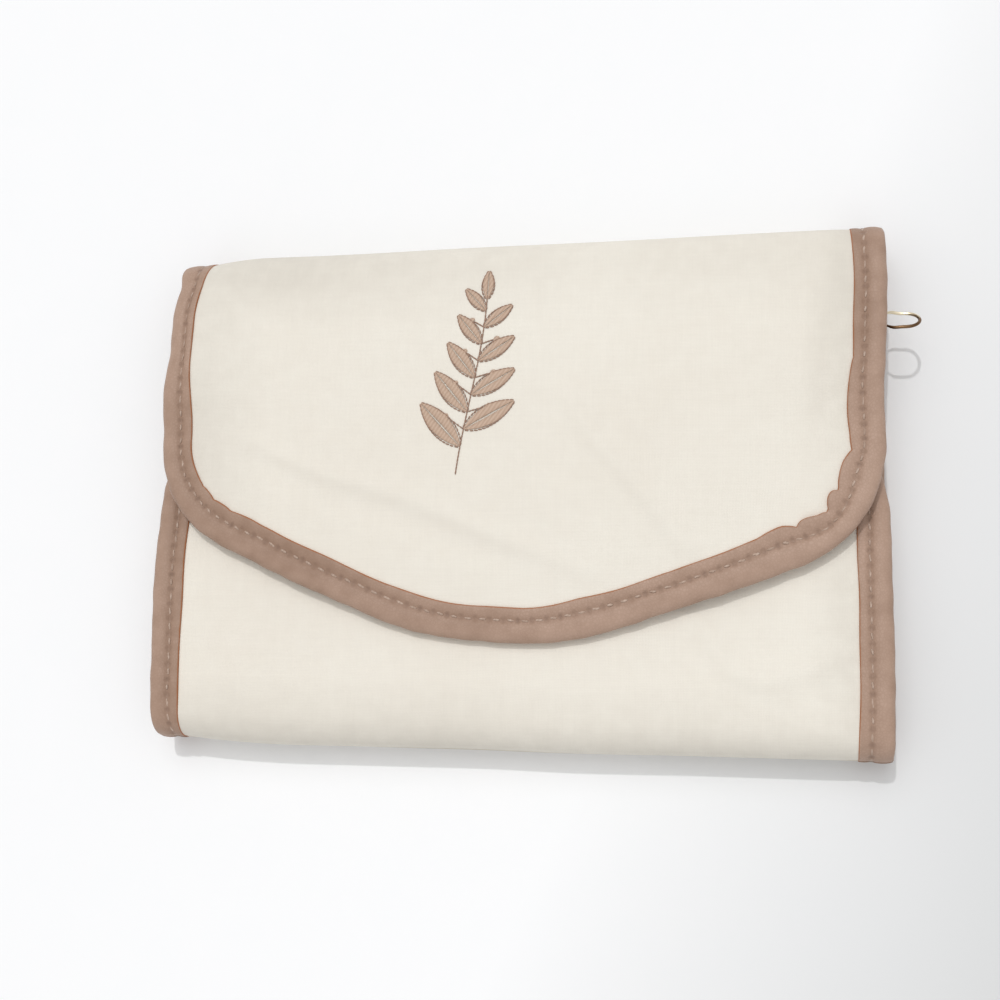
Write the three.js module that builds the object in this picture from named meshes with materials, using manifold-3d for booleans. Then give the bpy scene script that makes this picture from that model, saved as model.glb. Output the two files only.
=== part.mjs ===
// Travel jewelry organizer: a bound canvas wallet, folded shut and lying on its back panel.
// Millimetres. +X runs along the folds, +Y points to the top fold, +Z points up from the table.
// The origin is the middle of the back panel's outer face.
import * as THREE from 'three';
import { mergeVertices } from 'three/addons/utils/BufferGeometryUtils.js';
import Module from 'manifold-3d';

const wasm = await Module();
wasm.setup();

// Case, folded shut
const caseWidth = 254;
const caseHeight = 176;
const flapLength = 142;
const flapOverlap = 69;
const topFoldRadius = 12;
const bottomFoldRadius = 10;

// Plan outline of the flap and of the front panel's free edge
const flapCornerRadius = 45;
const flapPointRadius = 135;
const flapPointAngle = THREE.MathUtils.degToRad(20.7);
const frontCornerRadius = 16;

// How the closed panels lie: the front panel sinks to its free edge, and the flap's point rests on it
const frontSinkAngle = THREE.MathUtils.degToRad(3.5);
const flapSeatGap = 0.45;

// Layers, from the outer face inwards, and the binding folded round their edges
const canvasThickness = 0.9;
const paddingThickness = 1.1;
const liningThickness = 0.5;
const layerGap = 0.12;
const bindingWidth = 11;
const bindingWall = 0.7;
const bindingSqueeze = 0.15;
const foldJointGap = 0.4;

// Pockets sewn on the lining
const pocketThickness = 0.5;
const pocketSideMargin = 5;
const pocketCornerRadius = 9;
const pocketSeamGap = 0.5;
const flapPocketDepth = 50;
const backPocketAboveFold = 25.5;
const frontPocketAboveFold = 21;
const frontPocketBelowEdge = 20;

// Zips: the flap pocket's lies near the top fold, the back pocket's just clear of the front panel
const flapZipBelowFold = 32;
const backZipAboveFrontEdge = 8;
const zipEndMargin = 0.5;
const zipRunOut = 0.6;
const tapeHalfWidth = 11;
const tapeThickness = 0.6;
const toothPitch = 3.4;
const toothRootWidth = 1.3;
const toothTipWidth = 0.95;
const toothHeight = 1.9;
const toothReach = 1;
const toothRailInner = 1.5;
const toothRailOuter = 2.6;
const stopLength = 2;
const stopHeight = 2.3;
const flapZipSag = 0.15;

// Slider and its wire pull
const runningGap = 0.3;
const sliderLength = 10.5;
const sliderNoseWidth = 6.2;
const sliderPlate = 1;
const sliderFlange = 1.2;
const bridgeLength = 7.4;
const bridgeWidth = 2.2;
const bridgeThickness = 1.1;
const pullWireDiameter = 1.3;
const flapPullLength = 31.5;
const backPullLength = 18;
const pullWidth = 10.4;
const pullBendRadius = 1.4;

// Ring bar: a stuffed roll, sewn down at one end and snapped down at the other
const ringBarRadius = 6;
const ringBarEndRadius = 5.5;
const ringBarEndRound = 2;
const ringBarBelowFold = 46;
const ringBarEndMargin = 32;
const ringStrapWidth = 12;
const ringStrapThickness = 0.9;
const ringStrapLength = 14;
const ringStrapDrop = 2.5;
const ringSnapRadius = 4;
const ringSnapHeight = 1.2;
const ringSnapRim = 0.5;
const ringStudRadius = 3.4;
const ringStudHeight = 0.7;
const ringStudRim = 0.3;

// Magnetic snap under the flap's point
const snapRadius = 6;
const snapRim = 0.5;
const snapFlange = 0.8;
const snapSocketHeight = 1.9;
const snapSocketFloor = 0.6;
const snapPostRadius = 2.9;
const snapPostTaper = 0.3;
const snapPostClearance = 0.9;
const snapEngagement = 0.9;
const snapFaceClearance = 1.05;
const snapFromPoint = 18;

// Construction
const cutOverrun = 3;
const weldTolerance = 0.0001;
const mitreAngle = THREE.MathUtils.degToRad(45);
const mitreSteps = 4;
const crownSteps = 12;
const cornerSteps = 8;
const pointSteps = 8;
const smallRoundSteps = 4;
const discSides = 28;
const rollSides = 24;
const wireSides = 8;
const wireSteps = 72;
const solvingRounds = 40;

// Colours and finishes
const canvasFinish = { color: '#efe8de', roughness: 0.92, metalness: 0 };
const paddingFinish = { color: '#f4f2ee', roughness: 0.95, metalness: 0 };
const liningFinish = { color: '#d8c8b4', roughness: 0.85, metalness: 0 };
const bindingFinish = { color: '#a98c7c', roughness: 0.6, metalness: 0 };
const tapeFinish = { color: '#cdb9a3', roughness: 0.85, metalness: 0 };
const brassFinish = { color: '#cfa75f', roughness: 0.28, metalness: 1 };

// Sizes that follow from the ones above
const topFold = caseHeight / 2;
const bottomFold = -caseHeight / 2;
const stack = canvasThickness + paddingThickness + liningThickness + 2 * layerGap;
const proud = bindingWall + layerGap;
const flapPointY = topFold - flapLength;
const frontEdgeY = flapPointY + flapOverlap;
const snapY = flapPointY + snapFromPoint;
const insideWidth = caseWidth - 2 * (bindingWidth + pocketSideMargin);
const zipLength = caseWidth - 2 * (bindingWidth + zipEndMargin);

const model = new THREE.Group();

// Adds a named piece to a group
function addPiece(name, geometry, finish, parent = model) {
  const mesh = new THREE.Mesh(geometry, new THREE.MeshStandardMaterial(finish));
  mesh.name = name;
  parent.add(mesh);
  return mesh;
}

// Turns a closed geometry into a solid for joining and cutting
function solidOf(geometry) {
  const bare = geometry.clone();
  bare.deleteAttribute('normal');
  bare.deleteAttribute('uv');
  const merged = mergeVertices(bare, weldTolerance);
  const vertProperties = new Float32Array(merged.attributes.position.array);
  const triVerts = new Uint32Array(merged.index.array);
  return new wasm.Manifold(new wasm.Mesh({ numProp: 3, vertProperties, triVerts }));
}

// Turns a solid back into a geometry
function geometryOf(solid) {
  const mesh = solid.getMesh();
  const geometry = new THREE.BufferGeometry();
  geometry.setAttribute('position', new THREE.BufferAttribute(mesh.vertProperties, mesh.numProp));
  geometry.setIndex(new THREE.BufferAttribute(mesh.triVerts, 1));
  return geometry;
}

// Extrudes a side profile of [y, z] points along X, between two x values
function alongX(points, fromX, toX) {
  const shape = new THREE.Shape(points.map(([y, z]) => new THREE.Vector2(y, z)));
  const geometry = new THREE.ExtrudeGeometry(shape, { depth: toX - fromX, bevelEnabled: false });
  const yAxis = new THREE.Vector3(0, 1, 0);
  const zAxis = new THREE.Vector3(0, 0, 1);
  const xAxis = new THREE.Vector3(1, 0, 0);
  geometry.applyMatrix4(new THREE.Matrix4().makeBasis(yAxis, zAxis, xAxis));
  return geometry.translate(fromX, 0, 0);
}

// Extrudes a plan shape upwards, between two heights
function alongZ(shape, fromZ, toZ, curveSegments = cornerSteps) {
  const settings = { depth: toZ - fromZ, bevelEnabled: false, curveSegments };
  const geometry = new THREE.ExtrudeGeometry(shape, settings);
  return geometry.translate(0, 0, fromZ);
}

// Extrudes a profile of [x, z] points along Y, centred on y = 0
function alongY(shape, width, curveSegments = smallRoundSteps) {
  const geometry = new THREE.ExtrudeGeometry(shape, { depth: width, bevelEnabled: false, curveSegments });
  geometry.rotateX(Math.PI / 2);
  return geometry.translate(0, width / 2, 0);
}

// A box between two corners
function boxBetween(low, high) {
  const size = high.map((value, axis) => value - low[axis]);
  const middle = high.map((value, axis) => (value + low[axis]) / 2);
  return new THREE.BoxGeometry(...size).translate(...middle);
}

// A rectangle with rounded corners, centred across and lying between two y values
function roundedRectangle(halfWidth, lowY, highY, radius) {
  const shape = new THREE.Shape();
  shape.moveTo(-halfWidth + radius, lowY);
  shape.lineTo(halfWidth - radius, lowY);
  shape.absarc(halfWidth - radius, lowY + radius, radius, -Math.PI / 2, 0);
  shape.lineTo(halfWidth, highY - radius);
  shape.absarc(halfWidth - radius, highY - radius, radius, 0, Math.PI / 2);
  shape.lineTo(-halfWidth + radius, highY);
  shape.absarc(-halfWidth + radius, highY - radius, radius, Math.PI / 2, Math.PI);
  shape.lineTo(-halfWidth, lowY + radius);
  shape.absarc(-halfWidth + radius, lowY + radius, radius, Math.PI, 1.5 * Math.PI);
  return shape;
}

// Side paths. A station is a point on the outer face with the unit normal that points to the inside.
// Fold angles are measured about the fold's centre, from straight down through straight out to straight up.
function foldStations(side, radius, fromAngle, toAngle, steps) {
  const centreY = side * (caseHeight / 2 - radius);
  return Array.from({ length: steps + 1 }, (_, index) => {
    const angle = fromAngle + (toAngle - fromAngle) * index / steps;
    const out = [side * Math.sin(angle), -Math.cos(angle)];
    return { y: centreY + radius * out[0], z: radius + radius * out[1], inY: -out[0], inZ: -out[1] };
  });
}

// The half gap that keeps two stretches of a fold apart on its inner face
function halfJointAngle(radius) {
  return foldJointGap / 2 / (radius - stack - proud);
}

// Height of the front panel's outer face at a given y
function frontHeight(y) {
  const start = foldStations(-1, bottomFoldRadius, 0, Math.PI + frontSinkAngle, 1).at(-1);
  return start.z - (y - start.y) * Math.tan(frontSinkAngle);
}

// The back panel turns up into both folds as far as the mitres
function backPath() {
  const top = mitreAngle - halfJointAngle(topFoldRadius);
  const bottom = mitreAngle - halfJointAngle(bottomFoldRadius);
  return [
    ...foldStations(1, topFoldRadius, top, 0, mitreSteps),
    ...foldStations(-1, bottomFoldRadius, 0, bottom, mitreSteps),
  ];
}

// The stretch of a fold between its two mitres
function foldPath(side, radius) {
  const gap = halfJointAngle(radius);
  return foldStations(side, radius, mitreAngle + gap, Math.PI - mitreAngle - gap, 2 * mitreSteps);
}

// The flap leaves the top fold at an angle, and arches over to rest its point on the front panel
function archedPath(riseAngle) {
  const fromAngle = Math.PI - mitreAngle + halfJointAngle(topFoldRadius);
  const fold = foldStations(1, topFoldRadius, fromAngle, Math.PI - riseAngle, mitreSteps);
  const start = fold.at(-1);
  const pointZ = frontHeight(flapPointY) + flapSeatGap + stack + proud;
  const chordY = flapPointY - start.y;
  const chordZ = pointZ - start.z;
  const chordSquared = chordY * chordY + chordZ * chordZ;
  const crownRadius = chordSquared / 2 / (chordY * start.inY + chordZ * start.inZ);
  const turn = 2 * Math.asin(Math.sqrt(chordSquared) / 2 / crownRadius);
  const centre = [start.y + crownRadius * start.inY, start.z + crownRadius * start.inZ];
  const crown = Array.from({ length: crownSteps }, (_, index) => {
    const angle = riseAngle - turn * (index + 1) / crownSteps;
    const out = [Math.sin(angle), Math.cos(angle)];
    return {
      y: centre[0] + crownRadius * out[0],
      z: centre[1] + crownRadius * out[1],
      inY: -out[0],
      inZ: -out[1],
    };
  });
  return [...fold, ...crown];
}

// The height left for the closed snap between the flap's lining and the front panel's canvas
function snapRoom(path) {
  return stationAt(path, snapY).z - stack - frontHeight(snapY) - 2 * layerGap;
}

// The flap arches as far as the closed snap under it needs
function flapPath() {
  const needed = snapSocketHeight + snapFlange + snapFaceClearance;
  let low = 0;
  let high = mitreAngle;
  for (let round = 0; round < solvingRounds; round += 1) {
    const middle = (low + high) / 2;
    const enough = snapRoom(archedPath(middle)) > needed;
    low = enough ? low : middle;
    high = enough ? middle : high;
  }
  return archedPath(high);
}

// The front panel leaves the bottom fold and sinks to its free edge
function frontPath() {
  const fromAngle = Math.PI - mitreAngle + halfJointAngle(bottomFoldRadius);
  const fold = foldStations(-1, bottomFoldRadius, fromAngle, Math.PI + frontSinkAngle, mitreSteps);
  const start = fold.at(-1);
  return [...fold, { ...start, y: frontEdgeY, z: frontHeight(frontEdgeY) }];
}

// Lengthens a path at one end or both, so that a cut runs past it
function extended(path, atStart, atEnd) {
  const run = (from, to) => {
    const length = Math.hypot(to.y - from.y, to.z - from.z);
    const step = cutOverrun / length;
    return { ...to, y: to.y + (to.y - from.y) * step, z: to.z + (to.z - from.z) * step };
  };
  const before = atStart ? [run(path[1], path[0])] : [];
  const after = atEnd ? [run(path.at(-2), path.at(-1))] : [];
  return [...before, ...path, ...after];
}

// The closed side profile between two depths under a path's outer face
function band(path, fromDepth, toDepth) {
  const at = (depth) => path.map(({ y, z, inY, inZ }) => [y + inY * depth, z + inZ * depth]);
  return [...at(fromDepth), ...at(toDepth).reverse()];
}

// The station of a path at a given y, found between its neighbours
function stationAt(path, y) {
  const passesY = (station, place) => place > 0 && (station.y - y) * (path[place - 1].y - y) <= 0;
  const index = path.findIndex(passesY);
  const from = path[index - 1];
  const to = path[index];
  const share = (y - from.y) / (to.y - from.y);
  const mix = (key) => from[key] + (to[key] - from[key]) * share;
  return { y, z: mix('z'), inY: mix('inY'), inZ: mix('inZ') };
}

// The flap's plan outline, drawn in from the binding's outer edge. Its top runs past the fold.
function flapOutline(inset) {
  const halfWidth = caseWidth / 2 - inset;
  const cornerRadius = flapCornerRadius - inset;
  const pointRadius = flapPointRadius - inset;
  const slope = Math.tan(flapPointAngle);
  const pointY = flapPointY + inset;
  const apexY = pointY - pointRadius * (1 / Math.cos(flapPointAngle) - 1);
  const cornerY = apexY + halfWidth * slope;
  const tangent = cornerRadius * Math.tan((Math.PI / 2 - flapPointAngle) / 2);
  const arcY = cornerY + tangent;
  const topY = topFold + cutOverrun;
  const arcFrom = -Math.PI / 2 + flapPointAngle;
  const points = [[halfWidth, topY]];
  for (let index = 0; index <= cornerSteps; index += 1) {
    const angle = arcFrom * index / cornerSteps;
    const arcX = halfWidth - cornerRadius;
    points.push([arcX + cornerRadius * Math.cos(angle), arcY + cornerRadius * Math.sin(angle)]);
  }
  for (let index = 0; index < pointSteps; index += 1) {
    const angle = arcFrom - flapPointAngle * index / pointSteps;
    points.push([pointRadius * Math.cos(angle), pointY + pointRadius + pointRadius * Math.sin(angle)]);
  }
  const mirrored = points.map(([x, y]) => [-x, y]).reverse();
  const outline = [...points, [0, pointY], ...mirrored];
  return new THREE.Shape(outline.map(([x, y]) => new THREE.Vector2(x, y)));
}

// The front panel's plan outline: rounded at the free edge, running past the bottom fold
function frontOutline(inset) {
  const halfWidth = caseWidth / 2 - inset;
  const radius = frontCornerRadius - inset;
  const edgeY = frontEdgeY - inset;
  const shape = new THREE.Shape();
  shape.moveTo(-halfWidth, bottomFold - cutOverrun);
  shape.lineTo(halfWidth, bottomFold - cutOverrun);
  shape.lineTo(halfWidth, edgeY - radius);
  shape.absarc(halfWidth - radius, edgeY - radius, radius, 0, Math.PI / 2);
  shape.lineTo(-halfWidth + radius, edgeY);
  shape.absarc(-halfWidth + radius, edgeY - radius, radius, Math.PI / 2, Math.PI);
  return shape;
}

// The three layers of a panel, from the outer face inwards
const layers = [
  { name: 'canvas', from: 0, to: canvasThickness, finish: canvasFinish },
  {
    name: 'padding',
    from: canvasThickness + layerGap,
    to: canvasThickness + layerGap + paddingThickness,
    finish: paddingFinish,
  },
  { name: 'lining', from: stack - liningThickness, to: stack, finish: liningFinish },
];
const layerInset = bindingWall + layerGap;
const planLow = -topFoldRadius;
const planHigh = 4 * topFoldRadius;

// A panel whose edges are straight: its layers, thinner under the bindings, and a binding on each side
function addStraightPanel(name, path) {
  const halfWidth = caseWidth / 2;
  const openWidth = halfWidth - bindingWidth - layerGap;
  const middle = solidOf(alongX(band(path, 0, stack), -openWidth, openWidth));
  const layerHalf = halfWidth - layerInset;
  const squeezed = solidOf(alongX(band(path, bindingSqueeze, stack), -layerHalf, layerHalf));
  const room = middle.add(squeezed);
  for (const layer of layers) {
    const sheet = solidOf(alongX(band(path, layer.from, layer.to), -halfWidth, halfWidth));
    addPiece(`${name}_${layer.name}`, geometryOf(sheet.intersect(room)), layer.finish);
  }
  for (const [sideName, side] of [['left', -1], ['right', 1]]) {
    const [lowX, highX] = [side * halfWidth, side * (halfWidth - bindingWidth)].sort((a, b) => a - b);
    const strip = solidOf(alongX(band(path, -proud, stack + proud), lowX, highX));
    const slotSpan = [side * (halfWidth - bindingWall), side * (halfWidth - bindingWidth - cutOverrun)];
    const [slotLow, slotHigh] = slotSpan.sort((a, b) => a - b);
    const slotBand = band(extended(path, true, true), -layerGap, stack + layerGap);
    const slot = solidOf(alongX(slotBand, slotLow, slotHigh));
    addPiece(`${name}_binding_${sideName}`, geometryOf(strip.subtract(slot)), bindingFinish);
  }
}

// A panel with a shaped free edge: its layers, and one binding round the sides and the free edge
function addShapedPanel(name, path, outline) {
  const halfWidth = caseWidth / 2;
  const pastEdge = extended(path, false, true);
  const pastBoth = extended(path, true, true);
  const column = (inset) => solidOf(alongZ(outline(inset), planLow, planHigh));
  for (const layer of layers) {
    const sheet = solidOf(alongX(band(pastEdge, layer.from, layer.to), -halfWidth, halfWidth));
    addPiece(`${name}_${layer.name}`, geometryOf(sheet.intersect(column(layerInset))), layer.finish);
  }
  const around = solidOf(alongX(band(pastEdge, -proud, stack + proud), -halfWidth, halfWidth));
  const strip = around.intersect(column(0)).subtract(column(bindingWidth));
  const slot = solidOf(alongX(band(pastBoth, -layerGap, stack + layerGap), -halfWidth, halfWidth));
  const binding = strip.subtract(slot.intersect(column(bindingWall)));
  addPiece(`${name}_binding`, geometryOf(binding), bindingFinish);
}

// A pocket sheet sewn on a panel's lining
function addPocket(name, path, halfWidth, lowY, highY, limit) {
  const shape = roundedRectangle(halfWidth, lowY, highY, pocketCornerRadius);
  const profile = band(path, stack + layerGap, stack + layerGap + pocketThickness);
  const sheet = solidOf(alongX(profile, -halfWidth - cutOverrun, halfWidth + cutOverrun));
  const column = solidOf(alongZ(shape, planLow, planHigh, smallRoundSteps));
  const cut = sheet.intersect(column);
  addPiece(name, geometryOf(limit ? cut.intersect(limit) : cut), liningFinish);
}

// A group whose x runs along the folds and whose z leaves a panel's face at a station
function seatOn(station, depth, inwards) {
  const seat = new THREE.Group();
  const sign = inwards ? 1 : -1;
  const zAxis = new THREE.Vector3(0, sign * station.inY, sign * station.inZ).normalize();
  const xAxis = new THREE.Vector3(1, 0, 0);
  const yAxis = new THREE.Vector3().crossVectors(zAxis, xAxis);
  seat.quaternion.setFromRotationMatrix(new THREE.Matrix4().makeBasis(xAxis, yAxis, zAxis));
  seat.position.set(0, station.y + station.inY * depth, station.z + station.inZ * depth);
  model.add(seat);
  return seat;
}

// One row of zip teeth on its rail. side is +1 or -1, and the teeth of the two rows interlock.
function toothRow(side, chainLength) {
  const count = Math.floor((chainLength - toothRootWidth) / toothPitch);
  const firstX = -count * toothPitch / 2 + (side > 0 ? 0 : toothPitch / 2);
  const teeth = side > 0 ? count + 1 : count;
  const railEnd = chainLength / 2;
  const points = [[-railEnd, toothRailOuter], [-railEnd, toothRailInner]];
  for (let index = 0; index < teeth; index += 1) {
    const x = firstX + index * toothPitch;
    points.push([x - toothRootWidth / 2, toothRailInner], [x - toothTipWidth / 2, -toothReach]);
    points.push([x + toothTipWidth / 2, -toothReach], [x + toothRootWidth / 2, toothRailInner]);
  }
  points.push([railEnd, toothRailInner], [railEnd, toothRailOuter]);
  const shape = new THREE.Shape(points.map(([x, y]) => new THREE.Vector2(x, side * y)));
  return alongZ(shape, 0, toothHeight);
}

// The slider's upper shell: a waisted plate with flanges down both sides of the chain, and the pull's bridge
function sliderShell() {
  const half = sliderLength / 2;
  const channel = toothRailOuter + runningGap;
  const halfWidth = channel + sliderFlange;
  const plateFrom = toothHeight + runningGap;
  const plateTo = plateFrom + sliderPlate;
  const flangeFrom = tapeThickness + runningGap;
  const nose = sliderNoseWidth / 2;
  const shape = new THREE.Shape();
  shape.moveTo(-half, -nose);
  shape.quadraticCurveTo(-half / 2, -halfWidth, 0, -halfWidth);
  shape.lineTo(half - sliderFlange, -halfWidth);
  shape.quadraticCurveTo(half, -halfWidth, half, -halfWidth + sliderFlange);
  shape.lineTo(half, halfWidth - sliderFlange);
  shape.quadraticCurveTo(half, halfWidth, half - sliderFlange, halfWidth);
  shape.lineTo(0, halfWidth);
  shape.quadraticCurveTo(-half / 2, halfWidth, -half, nose);
  const block = solidOf(alongZ(shape, flangeFrom, plateTo, smallRoundSteps));
  const low = [-half - cutOverrun, -channel, flangeFrom - cutOverrun];
  const high = [half + cutOverrun, channel, plateFrom];
  const body = block.subtract(solidOf(boxBetween(low, high)));
  const bridgeHalf = bridgeLength / 2;
  const headroom = pullWireDiameter + 2 * runningGap;
  const bridge = new THREE.Shape();
  bridge.moveTo(-bridgeHalf, -sliderPlate / 2);
  bridge.lineTo(-bridgeHalf + bridgeThickness, -sliderPlate / 2);
  bridge.lineTo(-bridgeHalf + bridgeThickness, headroom);
  bridge.lineTo(bridgeHalf - bridgeThickness, headroom);
  bridge.lineTo(bridgeHalf - bridgeThickness, -sliderPlate / 2);
  bridge.lineTo(bridgeHalf, -sliderPlate / 2);
  bridge.lineTo(bridgeHalf, headroom);
  const bridgeTop = headroom + bridgeThickness;
  bridge.quadraticCurveTo(bridgeHalf, bridgeTop, bridgeHalf - bridgeThickness, bridgeTop);
  bridge.lineTo(-bridgeHalf + bridgeThickness, headroom + bridgeThickness);
  bridge.quadraticCurveTo(-bridgeHalf, headroom + bridgeThickness, -bridgeHalf, headroom);
  const arch = solidOf(alongY(bridge, bridgeWidth).translate(0, 0, plateTo));
  return geometryOf(body.add(arch));
}

// Height of the pull's bar over the panel, and the pull itself: one wire, bent round with its ends butted
const pullBarHeight = toothHeight + runningGap + sliderPlate + runningGap + pullWireDiameter / 2;
function wirePull(pullLength) {
  const radius = pullWireDiameter / 2;
  const barHalf = bridgeWidth / 2 + runningGap + radius;
  const loopRadius = pullWidth / 2 - radius;
  const loopX = pullLength - radius - loopRadius;
  const shoulderX = 2 * pullBendRadius;
  const points = [new THREE.Vector3(0, runningGap / 2, 0)];
  const addArc = (centreX, centreY, arcRadius, fromAngle, toAngle, steps) => {
    for (let index = 0; index <= steps; index += 1) {
      const angle = fromAngle + (toAngle - fromAngle) * index / steps;
      const arcX = centreX + arcRadius * Math.cos(angle);
      const arcY = centreY + arcRadius * Math.sin(angle);
      points.push(new THREE.Vector3(arcX, arcY, 0));
    }
  };
  addArc(pullBendRadius, barHalf, pullBendRadius, Math.PI, Math.PI / 2, smallRoundSteps);
  points.push(new THREE.Vector3(shoulderX, barHalf + pullBendRadius, 0));
  addArc(loopX, 0, loopRadius, Math.PI / 2, -Math.PI / 2, 2 * smallRoundSteps);
  points.push(new THREE.Vector3(shoulderX, -barHalf - pullBendRadius, 0));
  addArc(pullBendRadius, -barHalf, pullBendRadius, -Math.PI / 2, -Math.PI, smallRoundSteps);
  points.push(new THREE.Vector3(0, -runningGap / 2, 0));
  const path = new THREE.CatmullRomCurve3(points, false, 'centripetal');
  const section = new THREE.Shape(Array.from({ length: wireSides }, (_, index) => {
    const angle = 2 * Math.PI * (index + 0.5) / wireSides;
    return new THREE.Vector2(radius * Math.cos(angle), radius * Math.sin(angle));
  }));
  return new THREE.ExtrudeGeometry(section, { steps: wireSteps, bevelEnabled: false, extrudePath: path });
}

// A whole zip on a seat, with its slider run up to the right-hand end
function addZip(name, seat, pullLength) {
  const half = zipLength / 2;
  const chainLength = zipLength - 2 * (stopLength + zipRunOut);
  const sliderX = chainLength / 2 - sliderLength / 2;
  const stopX = chainLength / 2 + runningGap;
  for (const [sideName, side] of [['upper', 1], ['lower', -1]]) {
    const [lowY, highY] = [side * (toothRailOuter + layerGap), side * tapeHalfWidth].sort((a, b) => a - b);
    const tape = boxBetween([-half, lowY, 0], [half, highY, tapeThickness]);
    addPiece(`${name}_tape_${sideName}`, tape, tapeFinish, seat);
    addPiece(`${name}_teeth_${sideName}`, toothRow(side, chainLength), brassFinish, seat);
  }
  for (const [sideName, side] of [['left', -1], ['right', 1]]) {
    const [lowX, highX] = [side * stopX, side * (stopX + stopLength)].sort((a, b) => a - b);
    const shape = roundedRectangle(stopLength / 2, -toothRailOuter, toothRailOuter, stopLength / 4);
    const stop = alongZ(shape, 0, stopHeight, smallRoundSteps).translate((lowX + highX) / 2, 0, 0);
    addPiece(`${name}_stop_${sideName}`, stop, brassFinish, seat);
  }
  const carriage = new THREE.Group();
  carriage.position.x = sliderX;
  seat.add(carriage);
  addPiece(`${name}_slider`, sliderShell(), brassFinish, carriage);
  addPiece(`${name}_pull`, wirePull(pullLength).translate(0, 0, pullBarHeight), brassFinish, carriage);
}

// A turned piece about the seat's z axis, from a profile of [radius, height] points
function turned(profile, sides = discSides) {
  const points = profile.map(([radius, height]) => new THREE.Vector2(radius, height));
  const geometry = new THREE.LatheGeometry(points, sides);
  return geometry.rotateX(Math.PI / 2);
}

// A disc with a chamfered upper rim
function rimmedDisc(radius, height, rim) {
  return turned([[0, 0], [radius, 0], [radius, height - rim], [radius - rim, height], [0, height]]);
}

// A strap at one end of the roll, side being +1 or -1. It leaves the roll at mid height, drops and lies flat.
function ringStrap(side, startX, centreZ, lowZ) {
  const startTop = centreZ + ringStrapThickness / 2;
  const bendX = startX + ringStrapDrop;
  const flatX = bendX + ringStrapThickness;
  const endX = startX + ringStrapLength;
  const flatTop = lowZ + ringStrapThickness;
  const bendTop = lowZ + 2 * ringStrapThickness;
  const strap = new THREE.Shape();
  strap.moveTo(side * startX, startTop - ringStrapThickness);
  strap.lineTo(side * (bendX - ringStrapThickness), bendTop);
  strap.quadraticCurveTo(side * bendX, lowZ, side * flatX, lowZ);
  strap.lineTo(side * endX, lowZ);
  strap.lineTo(side * endX, flatTop);
  strap.lineTo(side * flatX, flatTop);
  strap.quadraticCurveTo(side * bendX, flatTop, side * bendX, bendTop);
  strap.lineTo(side * (startX + ringStrapThickness), startTop);
  strap.lineTo(side * startX, startTop);
  return alongY(strap, ringStrapWidth).translate(0, topFold - ringBarBelowFold, 0);
}

// The ring bar lies along X over the back lining, on its two end straps
function addRingBar() {
  const length = caseWidth - 2 * ringBarEndMargin;
  const half = length / 2;
  const centreZ = stack + runningGap + ringBarRadius;
  const y = topFold - ringBarBelowFold;
  const round = ringBarEndRadius - ringBarEndRound;
  const profile = [[0, -half], [round, -half]];
  for (let index = 1; index <= smallRoundSteps; index += 1) {
    const angle = Math.PI / 2 * index / smallRoundSteps;
    const radius = round + ringBarEndRound * Math.sin(angle);
    profile.push([radius, -half + ringBarEndRound - ringBarEndRound * Math.cos(angle)]);
  }
  profile.push([ringBarRadius, 0]);
  const other = profile.slice(0, -1).map(([radius, height]) => [radius, -height]).reverse();
  const roll = turned([...profile, ...other], rollSides).rotateY(Math.PI / 2).translate(0, y, centreZ);
  addPiece('ring_bar_roll', roll, liningFinish);

  const strapX = half + runningGap;
  const liningZ = stack + layerGap;
  const studTop = liningZ + ringStudHeight;
  addPiece('ring_bar_strap', ringStrap(1, strapX, centreZ, studTop + layerGap), liningFinish);
  addPiece('ring_bar_anchor', ringStrap(-1, strapX, centreZ, liningZ), liningFinish);
  const snapX = strapX + ringStrapLength - ringSnapRadius - ringStrapThickness;
  const capZ = studTop + layerGap + ringStrapThickness + layerGap;
  const cap = rimmedDisc(ringSnapRadius, ringSnapHeight, ringSnapRim);
  const stud = rimmedDisc(ringStudRadius, ringStudHeight, ringStudRim);
  addPiece('ring_bar_snap_cap', cap.translate(snapX, y, capZ), brassFinish);
  addPiece('ring_bar_snap_stud', stud.translate(snapX, y, liningZ), brassFinish);
}

// The two halves of the magnetic snap, the stud's post reaching into the socket's well
function addMagneticSnap(flap, front) {
  const flapStation = stationAt(flap, snapY);
  const frontStation = stationAt(front, snapY);
  const postHeight = snapRoom(flap) - snapSocketHeight + snapEngagement;
  const wellRadius = snapPostRadius + snapPostClearance;
  const socket = turned([
    [0, 0],
    [snapRadius, 0],
    [snapRadius, snapSocketHeight - snapRim],
    [snapRadius - snapRim, snapSocketHeight],
    [wellRadius, snapSocketHeight],
    [wellRadius, snapSocketFloor],
    [0, snapSocketFloor],
  ]);
  const stud = turned([
    [0, 0],
    [snapRadius, 0],
    [snapRadius, snapFlange - snapRim],
    [snapRadius - snapRim, snapFlange],
    [snapPostRadius, snapFlange],
    [snapPostRadius - snapPostTaper, postHeight],
    [0, postHeight],
  ]);
  addPiece('snap_socket', socket, brassFinish, seatOn(frontStation, -layerGap, false));
  addPiece('snap_stud', stud, brassFinish, seatOn(flapStation, stack + layerGap, true));
}

const back = backPath();
const flap = flapPath();
const front = frontPath();
addStraightPanel('back', back);
addStraightPanel('top_fold', foldPath(1, topFoldRadius));
addStraightPanel('bottom_fold', foldPath(-1, bottomFoldRadius));
addShapedPanel('flap', flap, flapOutline);
addShapedPanel('front', front, frontOutline);

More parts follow.
